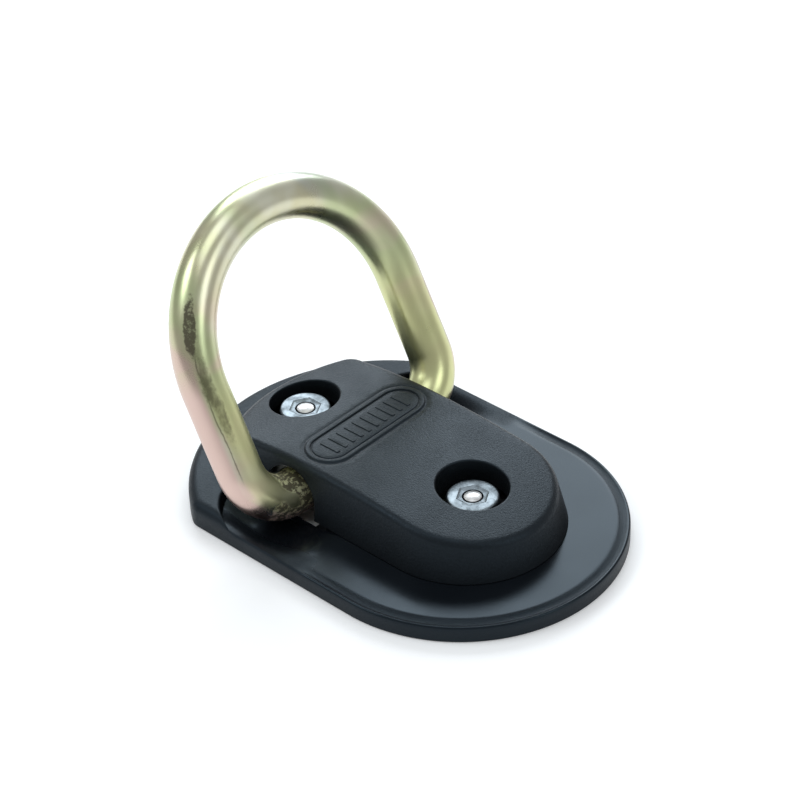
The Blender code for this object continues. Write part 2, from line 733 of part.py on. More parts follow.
def make_strap():
    """Bent steel strap that holds the bar down."""
    strap = cross_prism("saddle_strap", strap_section(), STRAP_EAR_HALF_WIDTH)
    outline = plate_outline(
        PLATE_TAIL_X + STRAP_INSET,
        PLATE_NOSE_X - STRAP_INSET,
        STRAP_HALF_WIDTH,
        PLATE_TAIL_CORNER - STRAP_INSET,
        PLATE_NOSE_CORNER - STRAP_INSET,
    )
    plan = prism("strap_plan", outline, 0.0, CUT_REACH)
    combine(plan, ear_box("strap_ears", CUT_REACH, CUT_LOW, CUT_HIGH), "UNION")
    combine(strap, plan, "INTERSECT")
    for side, x in BOLTS:
        drill(strap, f"strap_hole_{side}", BOLT_SHANK_RADIUS + RUNNING_GAP, x, 0.0)
    for place_name, x, y in plate_screw_places():
        tap = PLATE_SCREW_RADIUS + FIT_GAP
        drill(strap, f"strap_tap_{place_name}", tap, x, y, sides=SMALL_SIDES)
    place(strap, parts, STRAP_STEEL)


# Bolts, balls, screws and pads


def make_bolts():
    """Socket-head bolts, each with a steel ball in its socket."""
    socket_radius = SOCKET_ACROSS_FLATS / math.sqrt(3)
    ball_radius = SOCKET_ACROSS_FLATS / 2 - FIT_GAP
    ball_z = BOLT_TOP_Z - BALL_DEPTH - ball_radius
    socket_floor = ball_z - ball_radius - FIT_GAP
    chamfer = BOLT_HEAD_CHAMFER
    for side, x in BOLTS:
        profile = [
            (0.0, BOLT_TOP_Z),
            (BOLT_HEAD_RADIUS - chamfer, BOLT_TOP_Z),
            (BOLT_HEAD_RADIUS, BOLT_TOP_Z - chamfer),
            (BOLT_HEAD_RADIUS, BOLT_SEAT_Z),
            (BOLT_SHANK_RADIUS, BOLT_SEAT_Z),
            (BOLT_SHANK_RADIUS, FIT_GAP),
            (0.0, FIT_GAP),
        ]
        bolt = turned(f"anchor_bolt_{side}", profile, x, 0.0, 40)
        drill(bolt, f"socket_{side}", socket_radius, x, 0.0, low=socket_floor, sides=6)
        mouth = BOLT_TOP_Z - SOCKET_CHAMFER
        wide = socket_radius + 2 * SOCKET_CHAMFER
        lead = cylinder(
            f"socket_lead_{side}", socket_radius, mouth, BOLT_TOP_Z + SOCKET_CHAMFER, x, 0.0, 6, wide
        )
        cut(bolt, lead)
        place(bolt, parts, ZINC)
        shape = bmesh.new()
        bmesh.ops.create_uvsphere(shape, u_segments=20, v_segments=12, radius=ball_radius)
        ball = new_mesh_object(f"security_ball_{side}", shape)
        ball.location = (x, 0.0, ball_z)
        place(ball, parts, BALL_STEEL)


def make_screws():
    """Screws under the cover and through the plate."""
    radius = COVER_SCREW_RADIUS
    head = COVER_SCREW_HEAD_RADIUS
    low = COVER_SCREW_SINK
    for place_name, x, y in boss_places():
        profile = [
            (0.0, low + COVER_SCREW_LENGTH),
            (radius * 0.5, low + COVER_SCREW_LENGTH),
            (radius, low + COVER_SCREW_LENGTH - COVER_SCREW_POINT),
            (radius, low + head * 0.9),
            (head, low + head * 0.55),
            (head, low),
            (0.0, low),
        ]
        screw = turned(f"cover_screw_{place_name}", profile, x, y, SMALL_SIDES)
        place(screw, parts, SCREW_STEEL)
    radius = PLATE_SCREW_RADIUS
    head = PLATE_SCREW_HEAD_RADIUS
    for place_name, x, y in plate_screw_places():
        profile = [
            (0.0, STRAP_FOOT_Z + STRAP_THICKNESS),
            (radius, STRAP_FOOT_Z + STRAP_THICKNESS),
            (radius, FIT_GAP + PLATE_SCREW_HEAD_DEPTH),
            (head, FIT_GAP + PLATE_SCREW_HEAD_RIM),
            (head, FIT_GAP),
            (0.0, FIT_GAP),
        ]
        screw = turned(f"strap_screw_{place_name}", profile, x, y, SMALL_SIDES)
        place(screw, parts, SCREW_STEEL)


def make_pads():
    """Friction pads that the bar turns on."""
    for side, sign in SIDES:
        pad = box(f"friction_pad_{side}", *pad_corners(sign))
        soft = pad.modifiers.new("Edge", "BEVEL")
        soft.width = PAD_EDGE_RADIUS
        soft.segments = 1
        place(pad, parts, PAD_RUBBER)


make_shackle()
make_cover()
make_tray()
make_plate()
make_strap()
make_bolts()
make_screws()
make_pads()
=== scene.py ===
"""Folding shackle anchor: finished meshes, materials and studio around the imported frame."""

from __future__ import annotations

import json
import logging
import math
from collections import Counter
from collections.abc import Callable, Iterable, Sequence
from dataclasses import dataclass
from enum import Enum
from functools import lru_cache

import bmesh
import bpy
import numpy as np
from mathutils import Matrix, Vector
from mathutils.geometry import delaunay_2d_cdt
from mathutils.kdtree import KDTree

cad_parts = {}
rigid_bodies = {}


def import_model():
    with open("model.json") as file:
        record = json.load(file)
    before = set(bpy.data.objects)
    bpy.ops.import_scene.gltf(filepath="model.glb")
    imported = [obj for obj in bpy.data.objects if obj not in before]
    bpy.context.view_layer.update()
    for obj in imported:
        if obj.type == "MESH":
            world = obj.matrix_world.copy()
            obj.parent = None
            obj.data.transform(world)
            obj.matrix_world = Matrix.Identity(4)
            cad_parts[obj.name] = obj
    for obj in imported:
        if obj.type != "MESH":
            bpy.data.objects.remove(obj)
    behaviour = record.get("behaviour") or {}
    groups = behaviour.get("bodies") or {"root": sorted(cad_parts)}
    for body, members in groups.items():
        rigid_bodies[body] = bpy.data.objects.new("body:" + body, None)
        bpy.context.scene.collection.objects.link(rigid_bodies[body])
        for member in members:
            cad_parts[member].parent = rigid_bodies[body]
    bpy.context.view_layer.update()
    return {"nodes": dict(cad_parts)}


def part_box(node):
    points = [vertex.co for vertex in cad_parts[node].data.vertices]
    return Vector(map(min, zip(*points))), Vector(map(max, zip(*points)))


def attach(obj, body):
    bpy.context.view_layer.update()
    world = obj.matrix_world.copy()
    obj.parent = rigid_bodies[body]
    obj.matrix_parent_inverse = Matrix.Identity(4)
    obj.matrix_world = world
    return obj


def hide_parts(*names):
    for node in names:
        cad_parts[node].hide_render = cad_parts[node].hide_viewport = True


Point = tuple[float, float]
Colour = tuple[float, float, float]
Socket = bpy.types.NodeSocket

MM = 0.001
SHARP_ANGLE = math.radians(38)
FULL_TURN = 2 * math.pi
NOISE_LOW, NOISE_HIGH = 0.3, 0.7

for startup in list(bpy.data.objects):
    bpy.data.objects.remove(startup)
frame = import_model()

log = logging.getLogger("anchor")


class Body(Enum):
    """The two bodies that pieces ride on."""

    BASE = "base"
    SHACKLE = "shackle"


class Slot(Enum):
    """The record's material slots, passed along with the new pieces."""

    CHROMATE = "yellow_chromate"
    COVER = "cover_plastic"
    TRAY = "tray_plastic"
    ZINC = "zinc_plate"
    BALL = "ball_steel"


# Shared geometry


def arc(x: float, y: float, radius: float, start: float, end: float, steps: int) -> list[Point]:
    """Points on an arc, ends included.

    Args:
        x: First coordinate of the centre.
        y: Second coordinate of the centre.
        radius: Radius of the arc.
        start: First angle in radians.
        end: Last angle in radians.
        steps: Number of stretches between points.

    Returns:
        The points, from the first angle to the last.
    """
    turns = [start + (end - start) * i / steps for i in range(steps + 1)]
    return [(x + radius * math.cos(turn), y + radius * math.sin(turn)) for turn in turns]


def ramp(value: float, start: float, end: float) -> float:
    """Smooth 0 to 1 between two values, whichever is the larger."""
    share = min(max((value - start) / (end - start), 0.0), 1.0)
    return share * share * (3.0 - 2.0 * share)


def circle(x: float, y: float, radius: float, sides: int) -> list[Point]:
    """Points on a circle, the first not repeated."""
    return arc(x, y, radius, 0.0, FULL_TURN, sides)[:-1]


def level(points: Iterable[Point], z: float) -> list[Vector]:
    """Plan points as places at one height."""
    return [Vector((x, y, z)) for x, y in points]


def roll(depth: float, radius: float) -> float:
    """Drop of a rounded edge at a depth inside it."""
    if depth >= radius:
        return 0.0
    reach = radius - max(depth, 0.0)
    return radius - math.sqrt(radius * radius - reach * reach)


@dataclass(frozen=True)
class DShape:
    """Long outline with a half-round right end and a flatter left arc with rounded corners."""

    right_x: float
    left_x: float
    half_width: float
    left_radius: float
    corner_radius: float
    straight: tuple[float, ...]
    end_steps: int = 72
    corner_steps: int = 12
    tail_steps: int = 48

    @property
    def corner_y(self) -> float:
        """Distance of the corner centres from the middle line."""
        return self.half_width - self.corner_radius

    @property
    def corner_x(self) -> float:
        """Place of the corner centres along the length."""
        reach = self.left_radius - self.corner_radius
        return self.left_x - math.sqrt(reach * reach - self.corner_y * self.corner_y)

    @property
    def turn(self) -> float:
        """Angle at which a corner runs into the left arc."""
        return math.atan2(self.corner_y, self.corner_x - self.left_x)

    def points(self, inset: float = 0.0) -> list[Point]:
        """Points of the outline, the same number at every inset.

        Args:
            inset: Distance inside the outline.

        Returns:
            The points, counterclockwise from the lower end of the right arc.
        """
        half = self.half_width - inset
        corner = self.corner_radius - inset
        tail = self.left_radius - inset
        turn = self.turn
        ring = arc(self.right_x, 0.0, half, -math.pi / 2, math.pi / 2, self.end_steps)
        ring += [(x, half) for x in self.straight]
        ring += arc(self.corner_x, self.corner_y, corner, math.pi / 2, turn, self.corner_steps)
        ring += arc(self.left_x, 0.0, tail, turn, 2 * math.pi - turn, self.tail_steps)[1:-1]
        ring += arc(self.corner_x, -self.corner_y, corner, -turn, -math.pi / 2, self.corner_steps)
        ring += [(x, -half) for x in reversed(self.straight)]
        return ring

    def depth(self, x: float, y: float) -> float:
        """Distance of a point inside the outline.

        Args:
            x: Place along the length.
            y: Place across it.

        Returns:
            The distance, below zero outside.
        """
        across = abs(y)
        if x >= self.right_x:
            return self.half_width - math.hypot(x - self.right_x, across)
        corner = math.atan2(across - self.corner_y, x - self.corner_x)
        if math.pi / 2 <= corner <= self.turn:
            reach = math.hypot(x - self.corner_x, across - self.corner_y)
            return self.corner_radius - reach
        if x >= self.corner_x:
            return self.half_width - across
        return min(self.half_width - across, self.left_radius - math.hypot(x - self.left_x, across))


def spaced(start: float, end: float, gap: float) -> tuple[float, ...]:
    """Evenly spaced values between two ends, both left out.

    Args:
        start: First end.
        end: Last end.
        gap: Largest distance between neighbours.

    Returns:
        The values in order.
    """
    count = max(int(math.ceil(abs(end - start) / gap)), 1)
    return tuple(start + (end - start) * i / count for i in range(1, count))


class MeshMaker:
    """Collects points and faces, and makes one closed mesh object of them."""

    def __init__(self) -> None:
        """Starts with nothing."""
        self.outer: list[Vector] = []
        self.inner: list[Vector] = []
        self.faces: list[tuple[int, ...]] = []

    def point(self, place: Vector, partner: Vector | None = None) -> int:
        """Adds a point.

        Args:
            place: Where it is.
            partner: The point behind it on the inner side of a shell.

        Returns:
            Its number.
        """
        self.outer.append(place)
        self.inner.append(place if partner is None else partner)
        return len(self.outer) - 1

    def ring(self, places: Iterable[Vector], partners: Iterable[Vector] | None = None) -> list[int]:
        """Adds one point for each place, and returns their numbers."""
        if partners is None:
            return [self.point(place) for place in places]
        return [self.point(*pair) for pair in zip(places, partners)]

    def strip(self, low: Sequence[int], high: Sequence[int]) -> None:
        """Joins two closed rings of the same length with quads."""
        count = len(low)
        for i in range(count):
            j = (i + 1) % count
            self.faces.append((low[i], low[j], high[j], high[i]))

    def stack(self, rings: Sequence[Sequence[int]]) -> None:
        """Joins each ring to the next one."""
        for low, high in zip(rings, rings[1:]):
            self.strip(low, high)

    def fan(self, ring: Sequence[int], middle: Vector) -> None:
        """Closes a ring with triangles to a middle point."""
        centre = self.point(middle)
        count = len(ring)
        self.faces += [(ring[i], ring[(i + 1) % count], centre) for i in range(count)]

    def patch(
        self,
        loops: Sequence[Sequence[int]],
        guides: Sequence[Sequence[Point]],
        spacing: float,
        lift: Callable[[float, float], tuple[Vector, Vector]],
    ) -> None:
        """Fills the space between rings with triangles that follow guide lines.

        Args:
            loops: Rings of point numbers that bound the patch, holes included.
            guides: Lines that the triangles keep to; a closed one repeats its first point.
            spacing: Distance between the free points in between.
            lift: Gives the place and inner partner of a new point from its plan position.
        """
        flat: list[Vector] = []
        edges: list[tuple[int, int]] = []
        known: dict[int, int] = {}
        for loop in loops:
            start = len(flat)
            for step, number in enumerate(loop):
                known[start + step] = number
                place = self.outer[number]
                flat.append(Vector((place.x / MM, place.y / MM)))
            count = len(loop)
            edges += [(start + i, start + (i + 1) % count) for i in range(count)]
        bounds = np.array([[flat[a][:], flat[b][:]] for a, b in edges], float)
        for guide in guides:
            start = len(flat)
            flat += [Vector((x / MM, y / MM)) for x, y in guide]
            edges += [(start + i, start + i + 1) for i in range(len(guide) - 1)]
        flat += self.free_points(flat, bounds, spacing / MM)
        places, _, faces, sources, _, _ = delaunay_2d_cdt(flat, edges, [], 0, 1e-4, True)
        spots = np.array([place[:] for place in places], float)
        corners = np.array([face[:3] for face in faces], int)
        kept = corners[inside(spots[corners].mean(axis=1), bounds)]
        numbers: dict[int, int] = {}
        for spot in np.unique(kept):
            match = next((known[s] for s in sources[spot] if s in known), None)
            if match is None:
                x, y = spots[spot] * MM
                match = self.point(*lift(float(x), float(y)))
            numbers[int(spot)] = match
        self.faces += [tuple(numbers[int(i)] for i in face) for face in kept]

    def free_points(self, taken: Sequence[Vector], bounds: np.ndarray, gap: float) -> list[Vector]:
        """Staggered points inside a boundary, clear of the points that are there.

        Args:
            taken: Points that are there.
            bounds: Edges of the boundary.
            gap: Distance between the new points.

        Returns:
            The new points.
        """
        tree = KDTree(len(taken))
        for number, place in enumerate(taken):
            tree.insert((place.x, place.y, 0.0), number)
        tree.balance()
        low, high = bounds.min(axis=(0, 1)), bounds.max(axis=(0, 1))
        pitch = gap * 0.866
        rows = int((high[1] - low[1]) / pitch) + 1
        columns = int((high[0] - low[0]) / gap) + 1
        spots = np.array(
            [
                (low[0] + gap * (column + 0.5 * (row % 2)), low[1] + pitch * row)
                for row in range(rows)
                for column in range(columns)
            ]
        )
        spots = spots[inside(spots, bounds)]
        clear = 0.62 * gap
        return [Vector((x, y)) for x, y in spots if tree.find((x, y, 0.0))[2] > clear]

    def thicken(self) -> None:
        """Turns an open sheet into a closed shell, through each point's inner partner."""
        count = len(self.outer)
        uses = Counter(
            frozenset((face[i], face[(i + 1) % len(face)]))
            for face in self.faces
            for i in range(len(face))
        )
        rims = [tuple(edge) for edge, used in uses.items() if used == 1]
        self.faces += [tuple(i + count for i in reversed(face)) for face in self.faces]
        self.faces += [(a, b, b + count, a + count) for a, b in rims]
        self.outer += self.inner

    def build(self, name: str) -> bpy.types.Object:
        """Makes the object, with smooth shading between sharp edges.

        Args:
            name: Name of the object.

        Returns:
            The object, in the scene.
        """
        mesh = bpy.data.meshes.new(name)
        mesh.from_pydata(self.outer, [], self.faces)
        shape = bmesh.new()
        shape.from_mesh(mesh)
        bmesh.ops.recalc_face_normals(shape, faces=shape.faces)
        shape.to_mesh(mesh)
        shape.free()
        mesh.shade_smooth()
        mesh.set_sharp_from_angle(angle=SHARP_ANGLE)
        obj = bpy.data.objects.new(name, mesh)
        bpy.context.scene.collection.objects.link(obj)
        return obj


def inside(spots: np.ndarray, bounds: np.ndarray) -> np.ndarray:
    """Which points lie inside a boundary, with its holes left out.

    Args:
        spots: Points, one in each row.
        bounds: Edges of the boundary, holes included.

    Returns:
        True for each point that is inside.
    """
    odd = np.zeros(len(spots), bool)
    for (x0, y0), (x1, y1) in bounds:
        if y0 == y1:
            continue
        crosses = (y0 > spots[:, 1]) != (y1 > spots[:, 1])
        odd ^= crosses & (spots[:, 0] < x0 + (spots[:, 1] - y0) * (x1 - x0) / (y1 - y0))
    return odd


def give_attribute(obj: bpy.types.Object, name: str, values: Sequence[float]) -> None:
    """Stores one number for each point of a mesh, for a finish to read."""
    layer = obj.data.attributes.new(name, "FLOAT", "POINT")
    layer.data.foreach_set("value", np.asarray(values, np.float32))


# Finishes


class Shader:
    """Short calls that add nodes to one material and join them."""

    def __init__(self, name: str) -> None:
        """Makes the material.

        Args:
            name: Name of the material.
        """
        self.material = bpy.data.materials.new(name)
        self.material.use_nodes = True
        self.tree = self.material.node_tree
        self.surface = self.tree.nodes["Principled BSDF"]
        self.coords = self.tree.nodes.new("ShaderNodeTexCoord").outputs["Object"]

    def feed(self, socket: Socket, value: object) -> None:
        """Joins a socket to another one, or sets its value."""
        if isinstance(value, Socket):
            self.tree.links.new(value, socket)
        elif isinstance(value, tuple) and len(value) == 3 and socket.type == "RGBA":
            socket.default_value = (*value, 1.0)
        else:
            socket.default_value = value

    def set(self, **values: object) -> None:
        """Sets inputs of the surface, with _ for each space in a name."""
        for name, value in values.items():
            self.feed(self.surface.inputs[name.replace("_", " ")], value)

    def stretched(self, x: float, y: float, z: float) -> Socket:
        """Object coordinates with a scale of their own along each axis."""
        node = self.tree.nodes.new("ShaderNodeMapping")
        self.feed(node.inputs["Vector"], self.coords)
        node.inputs["Scale"].default_value = (x, y, z)
        return node.outputs[0]

    def noise(
        self, scale: float, detail: float = 3.0, rough: float = 0.5, coords: Socket | None = None
    ) -> Socket:
        """Noise from 0 to 1.

        Args:
            scale: Features per metre.
            detail: Octaves.
            rough: Share of the fine octaves.
            coords: Coordinates, or None for the object's own.

        Returns:
            The noise.
        """
        node = self.tree.nodes.new("ShaderNodeTexNoise")
        self.feed(node.inputs["Vector"], coords or self.coords)
        node.inputs["Scale"].default_value = scale
        node.inputs["Detail"].default_value = detail
        node.inputs["Roughness"].default_value = rough
        return node.outputs["Fac"]

    def cells(self, scale: float) -> Socket:
        """A different grey for each cell of a Voronoi pattern."""
        node = self.tree.nodes.new("ShaderNodeTexVoronoi")
        self.feed(node.inputs["Vector"], self.coords)
        node.inputs["Scale"].default_value = scale
        split = self.tree.nodes.new("ShaderNodeSeparateColor")
        self.feed(split.inputs[0], node.outputs["Color"])
        return split.outputs[0]

    def reading(self, name: str) -> Socket:
        """A number that the mesh stores for each point."""
        node = self.tree.nodes.new("ShaderNodeAttribute")
        node.attribute_name = name
        return node.outputs["Fac"]

    def math(self, operation: str, first: object, second: object = 0.0) -> Socket:
        """The result of one sum."""
        node = self.tree.nodes.new("ShaderNodeMath")
        node.operation = operation
        self.feed(node.inputs[0], first)
        self.feed(node.inputs[1], second)
        return node.outputs[0]

    def times(self, first: object, second: object) -> Socket:
        """The product of two values."""
        return self.math("MULTIPLY", first, second)

    def plus(self, first: object, second: object) -> Socket:
        """The sum of two values."""
        return self.math("ADD", first, second)

    def peak(self, first: object, second: object) -> Socket:
        """The larger of two values."""
        return self.math("MAXIMUM", first, second)

    def span(
        self, value: Socket, low: float, high: float, start: float = 0.0, end: float = 1.0
    ) -> Socket:
        """Moves a value from one span to another, smoothly and without going beyond it."""
        node = self.tree.nodes.new("ShaderNodeMapRange")
        node.interpolation_type = "SMOOTHSTEP"
        names = ("From Min", "From Max", "To Min", "To Max")
        for name, number in zip(names, (low, high, start, end)):
            node.inputs[name].default_value = number
        self.feed(node.inputs["Value"], value)
        return node.outputs[0]

    def spread(self, noise: Socket, start: float, end: float) -> Socket:
        """Moves noise, which mostly keeps to the middle of its span, to another span."""
        return self.span(noise, NOISE_LOW, NOISE_HIGH, start, end)

    def mix(self, share: object, first: object, second: object) -> Socket:
        """A colour between two, by a share of the second."""
        node = self.tree.nodes.new("ShaderNodeMix")
        node.data_type = "RGBA"
        self.feed(node.inputs[0], share)
        self.feed(node.inputs[6], first)
        self.feed(node.inputs[7], second)
        return node.outputs[2]

    def bump(self, height: Socket, depth: float, strength: float = 1.0) -> None:
        """Gives the surface a relief of a real depth."""
        node = self.tree.nodes.new("ShaderNodeBump")
        node.inputs["Strength"].default_value = strength
        node.inputs["Distance"].default_value = depth
        self.feed(node.inputs["Height"], height)
        self.set(Normal=node.outputs[0])


def shade(colour: Colour, share: float) -> Colour:
    """A colour made lighter or darker."""
    red, green, blue = colour
    return share * red, share * green, share * blue


@dataclass(frozen=True)
class Bar:
    """Readings of where a point is on the bent bar."""

    rise: Socket
    turn: Socket
    across: Socket


@dataclass(frozen=True)
class ChromateFinish:
    """Zinc under yellow chromate: pale gold with green and pink films and a painted bluish
    reflection on the top of the arc, worn at the bends.
    """

    gold: Colour = (0.64, 0.60, 0.39)
    pale: Colour = (0.74, 0.72, 0.57)
    green: Colour = (0.50, 0.56, 0.30)
    pink: Colour = (0.66, 0.49, 0.43)
    # Colour of the painted reflection on the top of the arc.
    blue: Colour = (0.55, 0.60, 0.62)
    lime: Colour = (0.66, 0.66, 0.34)
    brown: Colour = (0.07, 0.058, 0.038)
    roughness: float = 0.31
    brown_share: float = 0.9
    crown_reflection_share: float = 0.55
    worn_metal: float = 0.75
    worn_roughness: float = 0.24
    seam_turn: float = 0.62
    seam_width: float = 0.055
    seam_share: float = 0.7
    relief: float = 0.00006

    def spot(
        self,
        shader: Shader,
        first: tuple[Socket, float, float],
        second: tuple[Socket, float, float],
    ) -> Socket:
        """A rounded spot on the bar, 1 in its middle and 0 outside it.

        Args:
            shader: The material in the making.
            first: One reading, its middle and its half-length.
            second: The other reading, its middle and its half-length.

        Returns:
            The share of the spot.
        """
        parts = []
        for value, middle, half in (first, second):
            away = shader.math("DIVIDE", shader.math("SUBTRACT", value, middle), half)
            parts.append(shader.math("POWER", away, 2.0))
        return shader.peak(shader.math("SUBTRACT", 1.0, shader.plus(*parts)), 0.0)

    def films(self, shader: Shader, bar: Bar, film: Socket) -> Socket:
        """Colours of the film down to the bends, with a painted bluish reflection on the top of the
        arc.

        Args:
            shader: The material in the making.
            bar: Where a point is on the bar.
            film: Noise that says how thick the film is.

        Returns:
            The colour.
        """
        colour = shader.mix(shader.span(film, 0.35, 0.62), self.gold, self.pale)
        patches = shader.noise(24.0, 2.0, 0.5, shader.stretched(1.0, 1.3, 0.7))
        colour = shader.mix(shader.span(patches, 0.46, 0.6, 0.0, 0.85), colour, self.green)
        blush = shader.noise(31.0, 2.0, 0.5, shader.stretched(0.8, 0.8, 1.4))
        outside = shader.span(bar.turn, 0.55, 0.95)
        outside = shader.times(outside, shader.span(bar.rise, 0.075, 0.045))
        clouds = shader.span(blush, 0.47, 0.58, 0.0, 0.9)
        clouds = shader.times(clouds, shader.span(bar.rise, 0.08, 0.06))
        colour = shader.mix(shader.peak(outside, clouds), colour, self.pink)
        fresh = shader.times(shader.span(bar.rise, 0.062, 0.035), shader.span(bar.turn, 0.75, 0.45))
        fresh = shader.times(fresh, shader.span(patches, 0.3, 0.55, 0.35, 0.9))
        colour = shader.mix(fresh, colour, self.lime)
        # Painted reflection: bluish colour on the upward-facing top of the arc, where the bar
        # reflects the light above.
        crown_reflection = shader.times(shader.span(bar.rise, 0.078, 0.098), shader.span(blush, 0.55, 0.42))
        return shader.mix(shader.times(crown_reflection, self.crown_reflection_share), colour, self.blue)

    def seam(self, shader: Shader, bar: Bar, drawn: Socket) -> Socket:
        """Thin drawing line down both legs.

        Args:
            shader: The material in the making.
            bar: Where a point is on the bar.
            drawn: Noise drawn out along the bar, which makes the line wander.

        Returns:
            The share of the line.
        """
        place = shader.plus(bar.turn, shader.spread(drawn, -0.05, 0.05))
        away = shader.math("ABSOLUTE", shader.math("SUBTRACT", place, self.seam_turn))
        line = shader.span(away, self.seam_width, 0.0, 0.0, self.seam_share)
        legs = shader.times(shader.span(bar.rise, 0.068, 0.058), shader.span(bar.rise, 0.012, 0.02))
        return shader.times(line, legs)

    def bend(self, shader: Shader, bar: Bar, ragged: Socket) -> Socket:
        """Worn stretch of the near bend, with a cleaner spot on top.

        Args:
            shader: The material in the making.
            bar: Where a point is on the bar.
            ragged: Noise that tears the edge.

        Returns:
            The share of the wear.
        """
        lag = shader.span(bar.turn, -0.3, 0.8, 0.0, 0.0068)
        worn = shader.span(shader.plus(bar.across, lag), -0.0405, -0.0365)
        worn = shader.times(worn, shader.span(bar.across, 0.0, -0.01))
        worn = shader.times(worn, shader.span(bar.rise, 0.022, 0.012))
        clean = self.spot(shader, (bar.across, -0.0372, 0.0042), (bar.turn, 0.1, 0.55))
        worn = shader.math("SUBTRACT", worn, shader.times(clean, 0.8))
        return shader.span(shader.plus(worn, ragged), 0.95, 1.15)

    def material(self) -> bpy.types.Material:
        """Makes the material from the film colours and the stored places on the bar."""
        shader = Shader("yellow_chromate_film")
        bar = Bar(*(shader.reading(name) for name in ("rise", "turn", "across")))
        film = shader.noise(38.0, 3.0, 0.55)
        drawn = shader.noise(160.0, 4.0, 0.6, shader.stretched(1.0, 1.0, 0.35))
        speck = shader.noise(520.0, 6.0, 0.72, shader.stretched(1.0, 0.8, 1.0))
        chips = shader.noise(620.0, 5.0, 0.75, shader.stretched(1.0, 0.6, 1.0))
        ragged = shader.noise(300.0, 4.0, 0.65)
        torn = shader.times(shader.math("SUBTRACT", ragged, 0.5), 1.4)
        near = shader.span(bar.across, -0.02, -0.03)
        lean = shader.plus(bar.turn, shader.span(bar.rise, 0.03, 0.08, 0.1, -0.14))
        scuff = shader.plus(self.spot(shader, (bar.rise, 0.0685, 0.0125), (lean, 0.66, 0.34)), torn)
        scuff = shader.times(near, shader.span(scuff, 0.3, 0.62))
        smear = shader.plus(self.spot(shader, (bar.rise, 0.047, 0.024), (lean, 0.45, 0.40)), torn)
        smear = shader.times(near, shader.span(smear, 0.25, 0.8, 0.0, 0.8))
        bend = self.bend(shader, bar, ragged)
        worn = shader.peak(bend, scuff)
        spots = shader.peak(
            shader.times(bend, shader.span(chips, 0.56, 0.5, 0.2, 1.0)),
            shader.times(scuff, shader.span(speck, 0.36, 0.5, 0.5, 1.0)),
        )
        streaks = shader.times(smear, shader.span(drawn, 0.35, 0.6, 0.2, 1.0))
        dark = shader.peak(shader.peak(spots, self.seam(shader, bar, drawn)), streaks)
        dark = shader.times(dark, self.brown_share)
        rough = shader.spread(film, self.roughness - 0.05, self.roughness + 0.07)
        shader.set(
            Base_Color=shader.mix(dark, self.films(shader, bar, film), self.brown),
            Metallic=shader.span(worn, 0.2, 1.0, 1.0, self.worn_metal),
            Roughness=shader.plus(rough, shader.times(worn, self.worn_roughness)),
        )
        grit = shader.plus(shader.times(drawn, 0.35), shader.times(spots, speck))
        shader.bump(grit, self.relief, 0.6)
        return shader.material


@dataclass(frozen=True)
class GrainedPlastic:
    """Satin black moulding with a fine grain and slight shine differences."""

    name: str = "cover_satin_grain"
    colour: Colour = (0.0045, 0.0054, 0.0064)
    sheen: Colour = (0.62, 0.82, 1.0)
    shine: float = 0.29
    roughness: float = 0.33
    grain: float = 1600.0
    depth: float = 0.00013

    def material(self) -> bpy.types.Material:
        """Makes the material."""
        shader = Shader(self.name)
        cloud = shader.noise(60.0, 3.0)
        grain = shader.noise(self.grain, 3.0, 0.6)
        rough = shader.spread(grain, self.roughness, self.roughness + 0.12)
        shader.set(
            Base_Color=shader.mix(cloud, self.colour, shade(self.colour, 1.5)),
            Roughness=shader.plus(rough, shader.spread(cloud, -0.03, 0.04)),
            Specular_IOR_Level=self.shine,
            Specular_Tint=self.sheen,
        )
        shader.bump(grain, self.depth)
        return shader.material


@dataclass(frozen=True)
class TrayPlastic:
    """Glossy black floor, with a matt grain on the raised tail, the shoulder and the sides."""

    colour: Colour = (0.0035, 0.0045, 0.006)
    sheen: Colour = (0.60, 0.82, 1.0)
    shine: float = 0.28
    gloss: float = 0.2
    matt: float = 0.42
    grain: float = 1700.0
    depth: float = 0.00008

    def material(self) -> bpy.types.Material:
        """Makes the material from the stored matt areas."""
        shader = Shader("tray_gloss_black")
        matt = shader.reading("matt")
        cloud = shader.noise(45.0, 3.0)
        grain = shader.noise(self.grain, 3.0, 0.6)
        rough = shader.times(matt, self.matt - self.gloss)
        rough = shader.plus(rough, shader.spread(cloud, self.gloss - 0.03, self.gloss + 0.05))
        shader.set(
            Base_Color=shader.mix(cloud, self.colour, shade(self.colour, 1.6)),
            Roughness=shader.plus(rough, shader.times(matt, shader.spread(grain, 0.0, 0.1))),
            Specular_IOR_Level=self.shine,
            Specular_Tint=self.sheen,
        )
        shader.bump(shader.times(grain, shader.span(matt, 0.0, 1.0, 0.06, 1.0)), self.depth)
        return shader.material


@dataclass(frozen=True)
class PlatedSteel:
    """Plated steel with spangled brightness, cloudy roughness, dull spots and painted shade where a
    mesh stores it.
    """

    name: str
    bright: Colour = (0.24, 0.275, 0.30)
    dull: Colour = (0.105, 0.125, 0.14)
    roughness: float = 0.40
    spangle: float = 700.0
    dirt: float = 0.25
    depth: float = 0.00001

    def material(self) -> bpy.types.Material:
        """Makes the material."""
        shader = Shader(self.name)
        spangle = shader.cells(self.spangle)
        cloud = shader.noise(260.0, 4.0, 0.6)
        blend = shader.times(spangle, shader.spread(cloud, 0.0, 1.0))
        colour = shader.mix(blend, self.bright, self.dull)
        spots = shader.span(shader.noise(1100.0, 2.0, 0.6), 0.62, 0.74, 0.0, self.dirt)
        colour = shader.mix(spots, colour, shade(self.dull, 0.35))
        shader.set(
            # Painted shade: the colour goes nearly black where the mesh stores a socket-shade
            # share.
            Base_Color=shader.mix(shader.reading("socket_shade"), colour, shade(self.dull, 0.1)),
            Metallic=1.0,
            Roughness=shader.spread(cloud, self.roughness - 0.06, self.roughness + 0.12),
        )
        shader.bump(shader.plus(spangle, cloud), self.depth, 0.6)
        return shader.material


